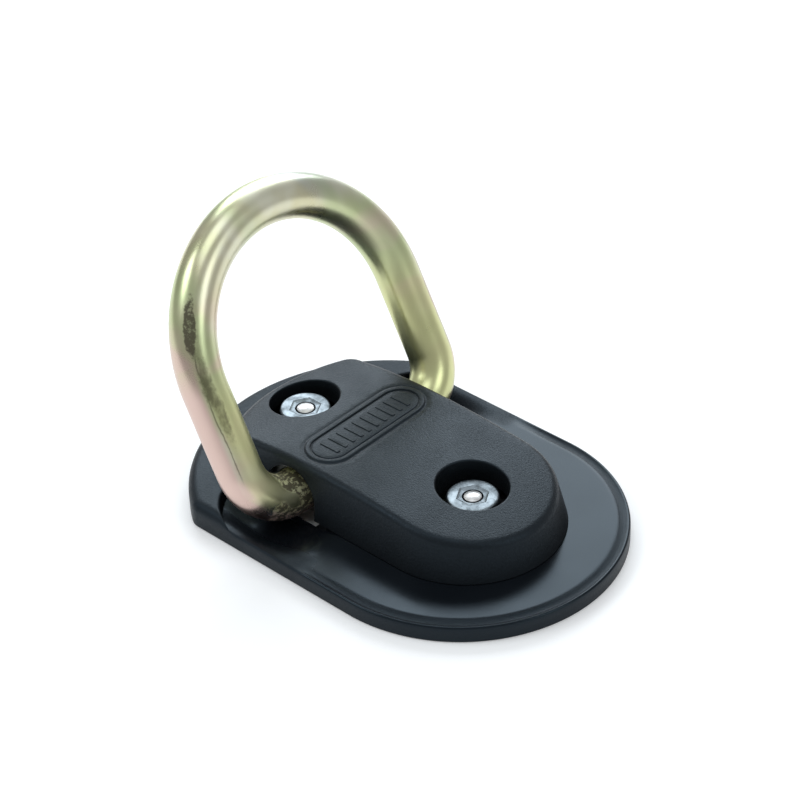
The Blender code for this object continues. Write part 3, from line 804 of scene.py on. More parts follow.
@dataclass(frozen=True)
class SoftRubber:
    """Matt black rubber with a dusty bloom."""

    colour: Colour = (0.03, 0.03, 0.03)

    def material(self) -> bpy.types.Material:
        """Makes the material."""
        shader = Shader("rubber_bloom")
        bloom = shader.noise(500.0, 4.0)
        shader.set(
            Base_Color=shader.mix(bloom, self.colour, shade(self.colour, 2.2)),
            Roughness=shader.spread(bloom, 0.7, 0.9),
        )
        shader.bump(bloom, 0.00004, 0.5)
        return shader.material


@dataclass(frozen=True)
class PaleFloor:
    """Plain pale studio floor."""

    colour: Colour = (0.9, 0.9, 0.9)
    glow: float = 0.22

    def material(self) -> bpy.types.Material:
        """Makes the material."""
        shader = Shader("pale_floor")
        cloud = shader.noise(3.0, 2.0)
        shader.set(
            Base_Color=shader.mix(cloud, self.colour, shade(self.colour, 1.02)),
            Roughness=0.9,
            Emission_Color=(1.0, 1.0, 1.0),
            Emission_Strength=self.glow,
        )
        return shader.material


def dress(
    piece: bpy.types.Object, body: Body, slot: Slot, finish: bpy.types.Material, *nodes: str
) -> None:
    """Finishes a new piece and puts it on its body in place of its nodes.

    Args:
        piece: The new piece.
        body: The body that it rides on.
        slot: The record's slot that its finish comes from; not used.
        finish: Its material.
        nodes: The nodes that it stands for.
    """
    piece.data.materials.append(finish)
    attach(piece, body.value)
    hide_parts(*nodes)
    log.info("%s stands for %s", piece.name, ", ".join(nodes))


def repaint(node: str, finish: bpy.types.Material) -> None:
    """Gives a kept node its finish."""
    for slot in frame["nodes"][node].material_slots:
        slot.material = finish
    log.info("%s kept, with finish %s", node, finish.name)


# Places that the sub-assemblies share


@dataclass(frozen=True)
class Layout:
    """Places of the main features, in metres in the shared frame."""

    axis_x: float = -0.0261
    axis_z: float = 0.0107
    bolt_x: tuple[float, float] = (-0.0493, 0.0287)
    floor_z: float = 0.0062
    foot_z: float = 0.0065
    seat_z: float = 0.0064
    slot_offset: float = 0.001
    slot_radius: float = 0.012
    slot_steps: int = 28
    cover_right_x: float = 0.0261
    cover_left_x: float = -0.0148
    cover_half_width: float = 0.0338
    cover_left_radius: float = 0.054
    cover_corner_radius: float = 0.010
    cover_straight_end: float = -0.0518
    cover_gap: float = 0.0015

    @property
    def slot_x(self) -> float:
        """Middle of the cover's slots along the part."""
        return self.axis_x + self.slot_offset

    def cover_outline(self) -> DShape:
        """Outline of the cover's foot, with extra points where the slots are cut."""
        turns = [math.pi * i / self.slot_steps for i in range(self.slot_steps + 1)]
        columns = tuple(self.slot_x + self.slot_radius * math.cos(turn) for turn in turns)
        straight = spaced(self.cover_right_x, columns[0], self.cover_gap) + columns
        straight += spaced(columns[-1], self.cover_straight_end, self.cover_gap)
        return DShape(
            right_x=self.cover_right_x,
            left_x=self.cover_left_x,
            half_width=self.cover_half_width,
            left_radius=self.cover_left_radius,
            corner_radius=self.cover_corner_radius,
            straight=straight,
        )

    def screw_places(self) -> list[Point]:
        """Centres of the four cover screws, read from their nodes."""
        ends = ("tail_front", "tail_rear", "nose_front", "nose_rear")
        places = []
        for end in ends:
            low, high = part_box(f"cover_screw_{end}")
            places.append(((low.x + high.x) / 2, (low.y + high.y) / 2))
        return places


# Sub-assemblies


@dataclass
class Shackle:
    """Round bar bent to a D, leaning on its axis."""

    layout: Layout
    bar_radius: float = 0.008
    half_width: float = 0.047
    height: float = 0.0923
    top_radius: float = 0.0468
    bend_radius: float = 0.016
    lean: float = math.radians(26.9)
    sides: int = 72
    step: float = 0.0011

    def path(self) -> list[tuple[Point, Point]]:
        """Centre line as (place, outward direction) pairs, each of them (across, up)."""
        bend_y = self.half_width - self.bend_radius
        top_z = self.height - self.top_radius
        rise = top_z - self.bend_radius
        toward = math.atan2(rise, -bend_y)
        tangent = toward - math.acos(
            (self.bend_radius - self.top_radius) / math.hypot(bend_y, rise)
        )
        line: list[tuple[Point, Point]] = []

        def sweep(y: float, z: float, radius: float, start: float, end: float) -> None:
            """Adds an arc of the centre line."""
            steps = max(int(radius * abs(end - start) / self.step), 2)
            for py, pz in arc(y, z, radius, start, end, steps):
                line.append(((py, pz), ((py - y) / radius, (pz - z) / radius)))

        def straight(last: tuple[Point, Point], first: tuple[Point, Point]) -> None:
            """Adds the inner points of a straight stretch."""
            (y0, z0), out = last
            (y1, z1), _ = first
            count = int(math.hypot(y1 - y0, z1 - z0) / self.step)
            for i in range(1, count):
                share = i / count
                line.append(((y0 + (y1 - y0) * share, z0 + (z1 - z0) * share), out))

        sweep(bend_y, self.bend_radius, self.bend_radius, -math.pi / 2, tangent)
        bend_end = line[-1]
        top = arc(0.0, top_z, self.top_radius, tangent, math.pi - tangent, 1)
        straight(bend_end, (top[0], bend_end[1]))
        sweep(0.0, top_z, self.top_radius, tangent, math.pi - tangent)
        top_end = line[-1]
        low = arc(-bend_y, self.bend_radius, self.bend_radius, math.pi - tangent, math.pi, 1)
        straight(top_end, (low[0], top_end[1]))
        sweep(-bend_y, self.bend_radius, self.bend_radius, math.pi - tangent, 1.5 * math.pi)
        straight(line[-1], line[0])
        return line

    def build(self) -> bpy.types.Object:
        """Sweeps the bar and stores where each point is on it."""
        up = Vector((-math.sin(self.lean), 0.0, math.cos(self.lean)))
        side = Vector((math.cos(self.lean), 0.0, math.sin(self.lean)))
        across = Vector((0.0, 1.0, 0.0))
        origin = Vector((self.layout.axis_x, 0.0, self.layout.axis_z))
        maker = MeshMaker()
        rings: list[list[int]] = []
        rises: list[float] = []
        turns: list[float] = []
        spans: list[float] = []
        for (y, z), (out_y, out_z) in self.path():
            out = across * out_y + up * out_z
            centre = origin + across * y + up * z
            ring = []
            for i in range(self.sides):
                turn = 2 * math.pi * i / self.sides - math.pi
                place = centre + (side * math.cos(turn) + out * math.sin(turn)) * self.bar_radius
                ring.append(maker.point(place))
                rises.append((place - origin).dot(up))
                turns.append(turn)
                spans.append(place.y)
            rings.append(ring)
        maker.stack(rings + rings[:1])
        piece = maker.build("folding_shackle")
        give_attribute(piece, "rise", rises)
        give_attribute(piece, "turn", turns)
        give_attribute(piece, "across", spans)
        return piece

    def assemble(self) -> None:
        """Builds and dresses the shackle."""
        finish = ChromateFinish().material()
        dress(self.build(), Body.SHACKLE, Slot.CHROMATE, finish, "shackle_ring")


@dataclass
class CoverMoulding:
    """Moulded cover: drafted wall, rolled edge, arched top, recesses, plaque and slots."""

    layout: Layout
    wall: float = 0.002
    draft: float = 0.21
    edge_radius: float = 0.003
    crest_x: float = -0.0166
    crest_z: float = 0.0249
    drop_left: float = 2.4
    drop_right: float = 1.05
    edge_steps: int = 8
    wall_rows: int = 9
    slot_drop: float = 0.0012
    recess_radius: float = 0.0124
    recess_lip: float = 0.0006
    recess_wall: float = 0.0007
    recess_floor: float = 0.0139
    recess_taper: float = 0.0001
    recess_sides: int = 72
    strap_clear: float = 0.0119
    plaque_x: float = -0.0199
    plaque_length: float = 0.052
    plaque_width: float = 0.018
    rib_count: int = 10
    rib_pitch: float = 0.0039
    rib_length: float = 0.0084
    rib_width: float = 0.0015
    rib_rise: float = 0.00028
    rib_corner: float = 0.3
    rib_flank: float = 0.00012
    mesh_gap: float = 0.0016
    plaque_profile: tuple[Point, ...] = (
        (-1.1, 0.0), (-0.75, -0.16), (-0.3, -0.2), (0.0, -0.02), (0.3, 0.26),
        (0.6, 0.32), (1.5, 0.32), (1.75, 0.24), (1.9, -0.12), (2.05, -0.2),
        (2.3, -0.2), (2.5, -0.02), (2.75, 0.05),
    )

    def top(self, x: float) -> float:
        """Height of the arched top."""
        reach = x - self.crest_x
        drop = self.drop_left if reach < 0 else self.drop_right
        return self.crest_z - drop * reach * reach

    def plaque_depth(self, x: float, y: float) -> float:
        """Distance inside the plaque's outline."""
        radius = self.plaque_width / 2
        reach = max(abs(y) - self.plaque_length / 2 + radius, 0.0)
        return radius - math.hypot(x - self.plaque_x, reach)

    def rib_depth(self, x: float, y: float) -> float:
        """Distance inside the nearest rib of the plaque."""
        first = -(self.rib_count - 1) / 2
        number = min(max(round(y / self.rib_pitch - first), 0), self.rib_count - 1)
        middle = (first + number) * self.rib_pitch
        corner = self.rib_width * self.rib_corner
        over_x = abs(x - self.plaque_x) - self.rib_length / 2 + corner
        over_y = abs(y - middle) - self.rib_width / 2 + corner
        outside = math.hypot(max(over_x, 0.0), max(over_y, 0.0))
        return corner - outside - min(max(over_x, over_y), 0.0)

    def relief(self, x: float, y: float) -> float:
        """Height of the plaque's relief above the arched top."""
        depth = self.plaque_depth(x, y) / MM
        xs, zs = zip(*self.plaque_profile)
        rise = float(np.interp(depth, xs, zs)) * MM
        if depth > xs[-1]:
            depth = self.rib_depth(x, y)
            rise += self.rib_rise * ramp(depth, -self.rib_flank, self.rib_flank)
        return rise

    def plaque_guides(self) -> list[list[Point]]:
        """Lines that the top's mesh follows round the plaque's border and ribs."""
        guides = []
        reach = (self.plaque_length - self.plaque_width) / 2
        for depth, _ in self.plaque_profile:
            radius = self.plaque_width / 2 - depth * MM
            line = arc(self.plaque_x, reach, radius, 0.0, math.pi, 32)
            line += [(self.plaque_x - radius, y) for y in spaced(reach, -reach, 0.0012)]
            line += arc(self.plaque_x, -reach, radius, math.pi, 2 * math.pi, 32)
            line += [(self.plaque_x + radius, y) for y in spaced(-reach, reach, 0.0012)]
            guides.append(line + line[:1])
        first = -(self.rib_count - 1) / 2
        for number in range(self.rib_count):
            middle = (first + number) * self.rib_pitch
            for grow in (2, 1, 0, -1, -2):
                inset = self.rib_width * self.rib_corner
                corner = max(inset + grow * self.rib_flank, 0.00004)
                half_x = self.rib_length / 2 - inset
                half_y = self.rib_width / 2 - inset
                line = []
                for turn, (sx, sy) in enumerate(((1, 1), (-1, 1), (-1, -1), (1, -1))):
                    x, y = self.plaque_x + sx * half_x, middle + sy * half_y
                    start = turn * math.pi / 2
                    line += arc(x, y, corner, start, start + math.pi / 2, 4)
                guides.append(line + line[:1])
        return guides

    def wall_inset(self, outline: DShape) -> float:
        """How far the draft brings the wall in, from the foot to the rolled edge."""
        return self.draft * (self.top(outline.right_x) - self.edge_radius - self.layout.foot_z)

    def walls(self, maker: MeshMaker, outline: DShape) -> list[int]:
        """Adds the drafted wall, with the slots for the bar left out.

        Args:
            maker: Takes the points and faces.
            outline: Outline of the cover's foot.

        Returns:
            The ring at the top of the wall.
        """
        foot, rows = self.layout.foot_z, self.wall_rows
        slot_x, radius = self.layout.slot_x, self.layout.slot_radius
        slot_z = self.layout.axis_z - self.slot_drop
        start = math.atan(self.draft)
        top_inset = self.wall_inset(outline) + self.edge_radius * (1 - math.cos(start))
        top_drop = self.edge_radius * (1 - math.sin(start))
        edge = outline.points(top_inset)
        points_at = lru_cache(None)(outline.points)
        columns: list[list[int | None]] = []
        for number, (base_x, _) in enumerate(outline.points()):
            wall_top = self.top(edge[number][0]) - top_drop
            reach = abs(base_x - slot_x)
            straight = outline.corner_x < base_x < outline.right_x
            in_slot = straight and reach < radius - 1e-6
            arch = slot_z + math.sqrt(radius**2 - reach**2) if in_slot else slot_z
            column: list[int | None] = []
            for row in range(rows):
                if in_slot and row < 2:
                    column.append(None)
                    continue
                if row < 2:
                    z = foot + (slot_z - foot) * row / 2
                else:
                    z = arch + (wall_top - arch) * (row - 2) / (rows - 3)
                inset = top_inset * (z - foot) / (wall_top - foot)
                x, y = points_at(round(inset, 5))[number]
                ix, iy = points_at(round(inset + self.wall, 5))[number]
                partner = Vector((x if straight else ix, iy, z))
                column.append(maker.point(Vector((x, y, z)), partner))
            columns.append(column)
        for one, other in zip(columns, columns[1:] + columns[:1]):
            for row in range(rows - 1):
                quad = (one[row], other[row], other[row + 1], one[row + 1])
                if None not in quad:
                    maker.faces.append(quad)
        return [column[-1] for column in columns]

    def rolled_edge(self, maker: MeshMaker, outline: DShape, last: list[int]) -> list[int]:
        """Adds the rounded edge between the wall and the top.

        Args:
            maker: Takes the points and faces.
            outline: Outline of the cover's foot.
            last: The ring at the top of the wall.

        Returns:
            The ring at the rim of the top.
        """
        start = math.atan(self.draft)
        wall_inset = self.wall_inset(outline)
        for step in range(1, self.edge_steps + 1):
            turn = start + (math.pi / 2 - start) * step / self.edge_steps
            back = math.pi / 2 * step / self.edge_steps
            inset = wall_inset + self.edge_radius * (1 - math.cos(turn))
            drop = self.edge_radius * (1 - math.sin(turn))
            places = [Vector((x, y, self.top(x) - drop)) for x, y in outline.points(inset)]
            deeper = outline.points(inset + self.wall * math.cos(back))
            partners = [
                Vector((x, y, place.z - self.wall * math.sin(back)))
                for (x, y), place in zip(deeper, places)
            ]
            ring = maker.ring(places, partners)
            maker.strip(last, ring)
            last = ring
        return last

    def build(self) -> bpy.types.Object:
        """Builds the shell as one closed mesh."""
        outline = self.layout.cover_outline()
        maker = MeshMaker()
        rim = self.rolled_edge(maker, outline, self.walls(maker, outline))
        loops = [rim] + [self.recess(maker, x) for x in self.layout.bolt_x]
        guides = self.plaque_guides()
        for x in self.layout.bolt_x:
            reach = self.recess_radius + 1.5 * self.recess_lip
            line = circle(x, 0.0, reach, self.recess_sides)
            guides.append(line + line[:1])

        def lift(x: float, y: float) -> tuple[Vector, Vector]:
            """Place and inner partner of a point of the top."""
            height = self.top(x)
            return Vector((x, y, height + self.relief(x, y))), Vector((x, y, height - self.wall))

        maker.patch(loops, guides, self.mesh_gap, lift)
        maker.thicken()
        return maker.build("cover_moulding")

    def recess(self, maker: MeshMaker, middle: float) -> list[int]:
        """Adds the wall of one bolt recess.

        Args:
            maker: Takes the points and faces.
            middle: Place of the bolt along the cover.

        Returns:
            The ring at the top of the recess's rounded lip.
        """
        outer = self.recess_radius + self.recess_wall
        thin = 0.1

        def ring(radius: float, back: float, heights: Callable[[float, float], Point]) -> list[int]:
            """Adds one ring, with its heights in front and behind."""
            places, partners = [], []
            sides = self.recess_sides
            pairs = zip(circle(middle, 0.0, radius, sides), circle(middle, 0.0, back, sides))
            for (x, y), (ix, iy) in pairs:
                z, inner_z = heights(x, ix)
                places.append(Vector((x, y, z)))
                partners.append(Vector((ix, iy, inner_z)))
            return maker.ring(places, partners)

        rings = []
        for step in range(7):
            turn = math.pi / 2 * step / 6
            radius = self.recess_radius + self.recess_lip * (1 - math.sin(turn))
            drop = self.recess_lip * (1 - math.cos(turn))
            back = outer + self.recess_taper * (1 - step / 6)

            def lip(x: float, ix: float) -> Point:
                """Heights on the rounded lip."""
                return self.top(x) - drop, self.top(ix) - self.wall - drop * thin

            rings.append(ring(radius, back, lip))
        for share in (0.33, 0.66, 1.0):

            def wall(x: float, ix: float) -> Point:
                """Heights on the straight wall, which stops above the strap."""
                reach = ix - self.layout.axis_x
                over = math.sqrt(max(self.strap_clear**2 - reach**2, 0.0))
                low = max(self.recess_floor, self.layout.axis_z + over)
                high = self.top(x) - self.recess_lip
                inner = self.top(ix) - self.wall - self.recess_lip * thin
                return high + (low - high) * share, inner + (low - inner) * share

            rings.append(ring(self.recess_radius, outer, wall))
        for low, high in zip(rings[1:], rings):
            maker.strip(low, high)
        return rings[0]

    def assemble(self) -> None:
        """Builds and dresses the cover."""
        finish = GrainedPlastic().material()
        dress(self.build(), Body.BASE, Slot.COVER, finish, "top_cover")


@dataclass
class TrayMoulding:
    """Moulded tray: rolled edge, glossy floor, scoops, raised tail and openings below."""

    layout: Layout
    right_x: float = 0.02405
    left_x: float = -0.0143
    half_width: float = 0.05625
    left_radius: float = 0.066
    corner_radius: float = 0.007
    straight_end: float = -0.0468
    foot_edge: float = 0.0004
    plateau_z: float = 0.0096
    plateau_roll: float = 0.0036
    floor_roll: float = 0.0008
    step_x: float = -0.0476
    step_y: float = 0.035
    step_radius: float = 0.0215
    step_roll: float = 0.0012
    scoop_reach: float = 0.0265
    scoop_floor: float = 0.0017
    scoop_half: float = 0.0542
    rim_soft: float = 0.0075
    shoulder_width: float = 0.0044
    shoulder_dip: float = 0.0006
    blend: float = 0.00015
    fit: float = 0.0003
    plate_half: float = 0.026
    plate_ear: float = 0.0132
    plate_tail_radius: float = 0.022
    plate_nose_radius: float = 0.016
    screw_head_radius: float = 0.003
    screw_head_depth: float = 0.0035
    screw_radius: float = 0.0018
    mesh_gap: float = 0.0016
    floor_gap: float = 0.004

    def outline(self) -> DShape:
        """Outline of the tray."""
        return DShape(
            right_x=self.right_x,
            left_x=self.left_x,
            half_width=self.half_width,
            left_radius=self.left_radius,
            corner_radius=self.corner_radius,
            straight=spaced(self.right_x, self.straight_end, 0.002),
            end_steps=120,
            tail_steps=96,
        )

    def step_depth(self, x: float, y: float) -> float:
        """Distance inside the raised tail from its step."""
        across = abs(y)
        if across < self.step_y:
            return self.step_x - x
        reach = x - self.layout.axis_x
        if reach < 0:
            return math.hypot(reach, across - self.step_y) - self.step_radius
        return across - self.step_y - self.step_radius

    def scoop(self, x: float) -> float:
        """Height of the scoop's round floor."""
        reach = min(abs(x - self.layout.axis_x) / self.scoop_reach, 1.0)
        depth = self.layout.floor_z - self.scoop_floor
        return self.layout.floor_z - depth * (0.5 + 0.5 * math.cos(math.pi * reach))

    def shoulder(self, x: float, depth: float) -> float:
        """Share of the textured shoulder at a place near the edge, from 0 to 1."""
        inner = self.shoulder_width
        near = ramp(depth, 0.0006, 0.002) * ramp(depth, inner + 0.0004, inner - 0.002)
        return near * ramp(x, -0.008, 0.02)

    def height(self, x: float, y: float, outline: DShape, cover: DShape) -> float:
        """Height of the tray's top.

        Args:
            x: Place along the tray.
            y: Place across it.
            outline: Outline of the tray.
            cover: Outline of the cover's foot.

        Returns:
            The height.
        """
        depth = outline.depth(x, y)
        z = self.layout.floor_z - roll(depth, self.floor_roll)
        z -= self.shoulder_dip * self.shoulder(x, depth)
        step = self.step_depth(x, y)
        if step > 0:
            raised = self.plateau_z - roll(depth, self.plateau_roll) - roll(step, self.step_roll)
            z += (max(raised, z) - z) * min(step / self.blend, 1.0)
        seat = ramp(cover.depth(x, y), -self.fit - self.blend, -self.fit)
        z += (min(z, self.layout.floor_z) - z) * seat
        rim = ramp(abs(y), self.scoop_half, self.scoop_half - self.rim_soft)
        rim *= ramp(step, 0.0, -0.0004)
        return z + (min(z, self.scoop(x)) - z) * rim

    def guides(self, outline: DShape, cover: DShape) -> list[list[Point]]:
        """Lines that the top's mesh follows.

        Args:
            outline: Outline of the tray.
            cover: Outline of the cover's foot.

        Returns:
            The lines.
        """
        guides: list[list[Point]] = []
        for inset in (0.1, 0.2, 0.35, 0.55, 0.8, 1.2, 1.8, 2.6, 3.6, 4.6, 5.4):
            line = outline.points(inset * MM)
            guides.append(line + line[:1])
        for inset in (self.fit, self.fit + self.blend):
            line = cover.points(-inset)
            guides.append(line + line[:1])
        for depth in (-0.0005, -0.0002, 0.0, self.blend, 0.0004, 0.0008, 0.0012, 0.002):
            radius = self.step_radius + depth
            line = arc(self.layout.axis_x, self.step_y, radius, 0.55 * math.pi, math.pi, 30)
            line = [point for point in line if outline.depth(*point) > 0.0001]
            straight = [(self.step_x - depth, y) for y in spaced(self.step_y, -self.step_y, 0.002)]
            guides.append(line + straight + [(x, -y) for x, y in reversed(line)])
        return [guide for guide in guides if len(guide) > 1]

    def plate_opening(self) -> list[Point]:
        """Outline of the opening that the steel plate fills."""
        low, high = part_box("steel_base_plate")
        tail, nose = low.x - self.fit, high.x + self.fit
        half, ear_y = self.plate_half + self.fit, high.y + self.fit
        tail_r, nose_r = self.plate_tail_radius + self.fit, self.plate_nose_radius + self.fit
        left, right = self.layout.axis_x - self.plate_ear, self.layout.axis_x + self.plate_ear
        line = arc(nose - nose_r, half - nose_r, nose_r, 0.0, math.pi / 2, 12)
        line += [(right, half), (right, ear_y), (left, ear_y), (left, half)]
        line += arc(tail + tail_r, half - tail_r, tail_r, math.pi / 2, math.pi, 12)[1:]
        return line + [(x, -y) for x, y in reversed(line)]

    def build(self) -> bpy.types.Object:
        """Builds the tray as one closed mesh."""
        outline = self.outline()
        cover = self.layout.cover_outline()
        maker = MeshMaker()

        def lift(x: float, y: float) -> tuple[Vector, Vector]:
            """Place and inner partner of a point of the top."""
            place = Vector((x, y, self.height(x, y, outline, cover)))
            return place, place

        edge = outline.points()
        tops = [lift(x, y)[0].z for x, y in edge]
        low = self.foot_edge
        rings = [maker.ring(level(outline.points(low), 0.0))]
        for share in (0.0, 0.25, 0.5, 0.75, 1.0):
            rings.append(
                maker.ring(Vector((x, y, low + (z - low) * share)) for (x, y), z in zip(edge, tops))
            )
        maker.stack(rings)
        opening = self.plate_opening()
        floor_hole = maker.ring(level(opening, 0.0))
        top_hole = maker.ring(lift(x, y)[0] for x, y in opening)
        maker.strip(floor_hole, top_hole)
        top_loops, floor_loops = [rings[-1], top_hole], [rings[0], floor_hole]
        ways = (
            (self.screw_head_radius, 0.0),
            (self.screw_head_radius, self.screw_head_depth),
            (self.screw_radius, self.screw_head_depth),
            (self.screw_radius, self.layout.floor_z),
        )
        for x, y in self.layout.screw_places():
            bores = [maker.ring(level(circle(x, y, radius, 24), z)) for radius, z in ways]
            maker.stack(bores)
            floor_loops.append(bores[0])
            top_loops.append(bores[-1])
        maker.patch(top_loops, self.guides(outline, cover), self.mesh_gap, lift)
        maker.patch(floor_loops, [], self.floor_gap, lambda x, y: (Vector((x, y, 0.0)),) * 2)
        piece = maker.build("tray_moulding")
        matt = [self.matt(point.co, outline) for point in piece.data.vertices]
        give_attribute(piece, "matt", matt)
        return piece

    def matt(self, place: Vector, outline: DShape) -> float:
        """How matt the tray is at a point, from 0 to 1."""
        depth = outline.depth(place.x, place.y)
        raised = ramp(self.step_depth(place.x, place.y), 0.0, 0.0008)
        wall = 0.8 * ramp(depth, 0.00025, 0.0)
        reach = abs(place.x - self.layout.axis_x)
        rim = ramp(abs(place.y), 0.046, 0.0495)
        rim *= ramp(reach, self.scoop_reach + 0.004, self.scoop_reach - 0.002)
        return max(raised, self.shoulder(place.x, depth), wall, rim)

    def assemble(self) -> None:
        """Builds and dresses the tray."""
        dress(self.build(), Body.BASE, Slot.TRAY, TrayPlastic().material(), "base_tray")


@dataclass
class Fastening:
    """One socket-head bolt and the steel ball in its socket."""

    layout: Layout
    side: str
    middle: float
    head_radius: float = 0.009
    head_top: float = 0.0184
    chamfer: float = 0.0009
    chamfer_run: float = 1.7
    seat_edge: float = 0.0004
    shank_radius: float = 0.00585
    shank_end: float = 0.0003
    flats: float = 0.0085
    mouth_flats: float = 0.0100
    mouth_depth: float = 0.0004
    bore_radius: float = 0.00365
    bore_gap: float = 0.0003
    ball_radius: float = 0.0035
    ball_depth: float = 0.0006
    waist_radius: float = 0.0032
    waist_depth: float = 0.0012
    collar_depth: float = 0.00095
    cap_radius: float = 0.0030
    cap_depth: float = -0.0002
    cap_steps: int = 16
    dome_radius: float = 0.0075
    fine: float = 0.0001
    sides: int = 96

    def circle(self, radius: float, z: float) -> list[Vector]:
        """A round ring about the bolt."""
        return level(circle(self.middle, 0.0, radius, self.sides), z)

    def hexagon(self, flats: float, z: float) -> list[Vector]:
        """A six-sided ring about the bolt, by its width across flats."""
        places = []
        for i in range(self.sides):
            turn = FULL_TURN * i / self.sides
            reach = flats / 2 / math.cos((turn + math.pi / 6) % (math.pi / 3) - math.pi / 6)
            places.append((self.middle + reach * math.sin(turn), reach * math.cos(turn)))
        start = self.sides // 4
        return level(places[start::-1] + places[:start:-1], z)

    def bolt(self) -> bpy.types.Object:
        """Turned head and shank with a chamfered six-sided socket."""
        maker = MeshMaker()
        top, seat = self.head_top, self.layout.seat_z
        floor = top - self.ball_depth - 2 * self.ball_radius - self.bore_gap
        mouth = top - self.mouth_depth
        rings = [
            self.circle(self.shank_radius, self.shank_end),
            self.circle(self.shank_radius, seat),
            self.circle(self.head_radius - self.seat_edge, seat),
            self.circle(self.head_radius, seat + self.seat_edge),
        ]
        for share in (0.0, 0.25, 0.5, 0.75, 1.0):
            turn = share * math.pi / 2
            radius = self.head_radius - self.chamfer * (1 - math.cos(turn))
            rings.append(self.circle(radius, top - self.chamfer * (1 - math.sin(turn))))
        rings += [
            self.circle(self.head_radius - self.chamfer * self.chamfer_run, top),
            self.hexagon(self.mouth_flats + 2 * self.fine, top),
            self.hexagon(self.mouth_flats, top - self.fine),
            self.hexagon(self.flats + self.fine, mouth + self.fine / 2),
            self.circle(self.bore_radius, mouth - self.fine),
            self.circle(self.bore_radius, floor),
        ]
        built = [maker.ring(ring) for ring in rings]
        maker.stack(built)
        maker.fan(built[0], Vector((self.middle, 0.0, self.shank_end)))
        maker.fan(built[-1], Vector((self.middle, 0.0, floor)))
        piece = maker.build(f"anchor_bolt_{self.side}_turned")
        # Painted shade down the socket's walls and floor, stored for the finish.
        give_attribute(piece, "socket_shade", [self.socket_shade(point.co) for point in piece.data.vertices])
        return piece

    def socket_shade(self, place: Vector) -> float:
        """Share of painted shade at a point, from 0 on the head to 1 down in the socket."""
        if math.hypot(place.x - self.middle, place.y) > self.bore_radius + self.fine / 2:
            return 0.0
        mouth = self.head_top - self.mouth_depth
        return ramp(place.z, mouth, mouth - self.mouth_depth)

    def ball(self) -> bpy.types.Object:
        """Steel ball, peened to a shallow dome on top."""
        maker = MeshMaker()
        top = self.head_top
        centre = top - self.ball_depth - self.ball_radius
        turns = [math.radians(angle) for angle in range(-86, 44, 4)]
        outline = [
            (self.ball_radius * math.cos(turn), centre + self.ball_radius * math.sin(turn))
            for turn in turns
        ]
        outline.append((self.waist_radius, top - self.waist_depth))
        outline.append((self.cap_radius + self.fine, top - self.collar_depth))
        for step in range(self.cap_steps):
            reach = self.cap_radius * (1 - step / self.cap_steps)
            drop = self.dome_radius - math.sqrt(self.dome_radius**2 - reach**2)
            outline.append((reach, top - self.cap_depth - drop))
        rings = [maker.ring(self.circle(radius, z)) for radius, z in outline]
        maker.stack(rings)
        maker.fan(rings[0], Vector((self.middle, 0.0, outline[0][1])))
        maker.fan(rings[-1], Vector((self.middle, 0.0, top - self.cap_depth)))
        piece = maker.build(f"security_ball_{self.side}_burnished")
        # Painted shade and reflection on the ball below its cap, where it sits down in the socket.
        rims = [math.hypot(point.co.x - self.middle, point.co.y) for point in piece.data.vertices]
        socket_shade = [ramp(rim, self.cap_radius, self.cap_radius + self.fine) for rim in rims]
        give_attribute(piece, "socket_shade", socket_shade)
        return piece

    def assemble(self, zinc: bpy.types.Material, steel: bpy.types.Material) -> None:
        """Builds and dresses the bolt and its ball."""
        dress(self.bolt(), Body.BASE, Slot.ZINC, zinc, f"anchor_bolt_{self.side}")
        dress(self.ball(), Body.BASE, Slot.BALL, steel, f"security_ball_{self.side}")


@dataclass
class HiddenSteel:
    """The plate, strap, screws and pads, whose shapes are kept."""

    def assemble(self) -> None:
        """Dresses the kept nodes."""
        strap = PlatedSteel(
            "strap_dull_zinc", (0.66, 0.67, 0.68), (0.45, 0.46, 0.48), 0.36, 500.0
        ).material()
        screw = PlatedSteel("screw_zinc", (0.62, 0.63, 0.65), (0.4, 0.42, 0.44), 0.34).material()
        plate = PlatedSteel(
            "plate_pale_zinc", (0.80, 0.81, 0.80), (0.6, 0.61, 0.6), 0.5
        ).material()
        rubber = SoftRubber().material()
        for name in frame["nodes"]:
            if name.startswith(("cover_screw", "strap_screw")):
                repaint(name, screw)
            elif name.startswith("friction_pad"):
                repaint(name, rubber)
        repaint("steel_base_plate", plate)
        repaint("saddle_strap", strap)


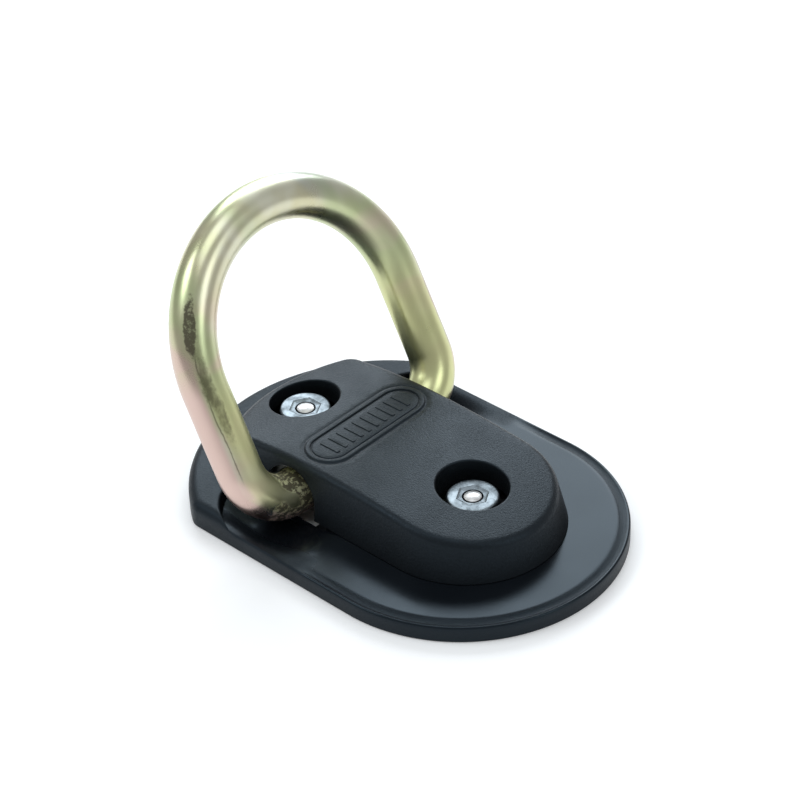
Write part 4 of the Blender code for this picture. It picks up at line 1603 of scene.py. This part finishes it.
@dataclass
class Studio:
    """Pale floor, soft light and the camera."""

    floor_size: float = 6.0
    floor_depth: float = 0.01
    floor_drop: float = 0.00005
    camera_place: tuple[float, float, float] = (0.46889, -0.48697, 0.53102)
    azimuth: float = math.radians(44.10)
    elevation: float = math.radians(35.757)
    tilt: float = math.radians(-2.4925)
    lens: float = 112.565
    sensor: float = 36.0
    sky: float = 0.45
    sky_colour: Colour = (0.96, 0.98, 1.0)
    lamp_colour: Colour = (0.88, 0.95, 1.0)
    target: tuple[float, float, float] = (0.0, 0.0, 0.03)

    def camera(self) -> None:
        """Makes the scene's camera."""
        back = Vector(
            (
                math.sin(self.azimuth) * math.cos(self.elevation),
                -math.cos(self.azimuth) * math.cos(self.elevation),
                math.sin(self.elevation),
            )
        )
        right = Vector((math.cos(self.azimuth), math.sin(self.azimuth), 0.0))
        up = back.cross(right)
        turned = right * math.cos(self.tilt) + up * math.sin(self.tilt)
        risen = up * math.cos(self.tilt) - right * math.sin(self.tilt)
        data = bpy.data.cameras.new("studio_camera")
        data.lens = self.lens
        data.sensor_width = self.sensor
        data.clip_start = 0.01
        data.clip_end = 50.0
        camera = bpy.data.objects.new("studio_camera", data)
        camera.matrix_world = Matrix((turned, risen, back)).transposed().to_4x4()
        camera.location = self.camera_place
        bpy.context.scene.collection.objects.link(camera)
        bpy.context.scene.camera = camera

    def lamp(
        self, name: str, place: Sequence[float], size: tuple[float, float], watts: float
    ) -> None:
        """Adds a soft rectangular lamp.

        Args:
            name: Name of the lamp.
            place: Where it hangs.
            size: Its two sides.
            watts: Its power.
        """
        data = bpy.data.lights.new(name, "AREA")
        data.shape = "RECTANGLE"
        data.size, data.size_y = size
        data.energy = watts
        data.color = self.lamp_colour
        lamp = bpy.data.objects.new(name, data)
        lamp.location = place
        toward = Vector(self.target) - Vector(place)
        lamp.rotation_mode = "QUATERNION"
        lamp.rotation_quaternion = toward.to_track_quat("-Z", "Y")
        bpy.context.scene.collection.objects.link(lamp)

    def world(self) -> None:
        """Gives the room its even light."""
        world = bpy.data.worlds.new("studio_room")
        world.use_nodes = True
        background = world.node_tree.nodes["Background"]
        background.inputs["Color"].default_value = (*self.sky_colour, 1.0)
        background.inputs["Strength"].default_value = self.sky
        bpy.context.scene.world = world

    def floor(self) -> None:
        """Lays the floor."""
        maker = MeshMaker()
        half = self.floor_size / 2
        corners = [(-half, -half), (half, -half), (half, half), (-half, half)]
        ring = maker.ring(level(corners, 0.0))
        under = maker.ring(level(corners, -self.floor_depth))
        maker.strip(under, ring)
        maker.faces += [tuple(ring), tuple(reversed(under))]
        floor = maker.build("studio_floor")
        floor.location.z = -self.floor_drop
        floor.data.materials.append(PaleFloor().material())

    def assemble(self) -> None:
        """Sets up the camera, the lamps, the room and the floor."""
        self.camera()
        self.floor()
        self.world()
        self.lamp("rear_softbox", (-0.78, 0.80, 0.78), (1.1, 0.8), 12.0)
        self.lamp("key_softbox", (-0.65, -0.65, 0.95), (0.6, 0.5), 3.2)
        self.lamp("side_softbox", (1.0, 0.2, 0.8), (0.5, 0.6), 1.9)
        self.lamp("top_softbox", (0.0, 0.0, 1.5), (0.8, 0.8), 3.2)
        settings = bpy.context.scene.view_settings
        settings.view_transform = "Standard"
        settings.look = "None"
        log.info("studio ready")


def main() -> None:
    """Builds every sub-assembly in order."""
    logging.basicConfig(level=logging.INFO, format="%(name)s: %(message)s")
    layout = Layout()
    Studio().assemble()
    Shackle(layout).assemble()
    CoverMoulding(layout).assemble()
    TrayMoulding(layout).assemble()
    zinc = PlatedSteel("bright_zinc").material()
    ball = PlatedSteel(
        "ball_bright_steel", (0.62, 0.61, 0.60), (0.45, 0.44, 0.44), 0.38, 500.0, 0.3
    ).material()
    for side, middle in zip(("left", "right"), layout.bolt_x):
        Fastening(layout, side, middle).assemble(zinc, ball)
    HiddenSteel().assemble()


if __name__ == "__main__":
    main()
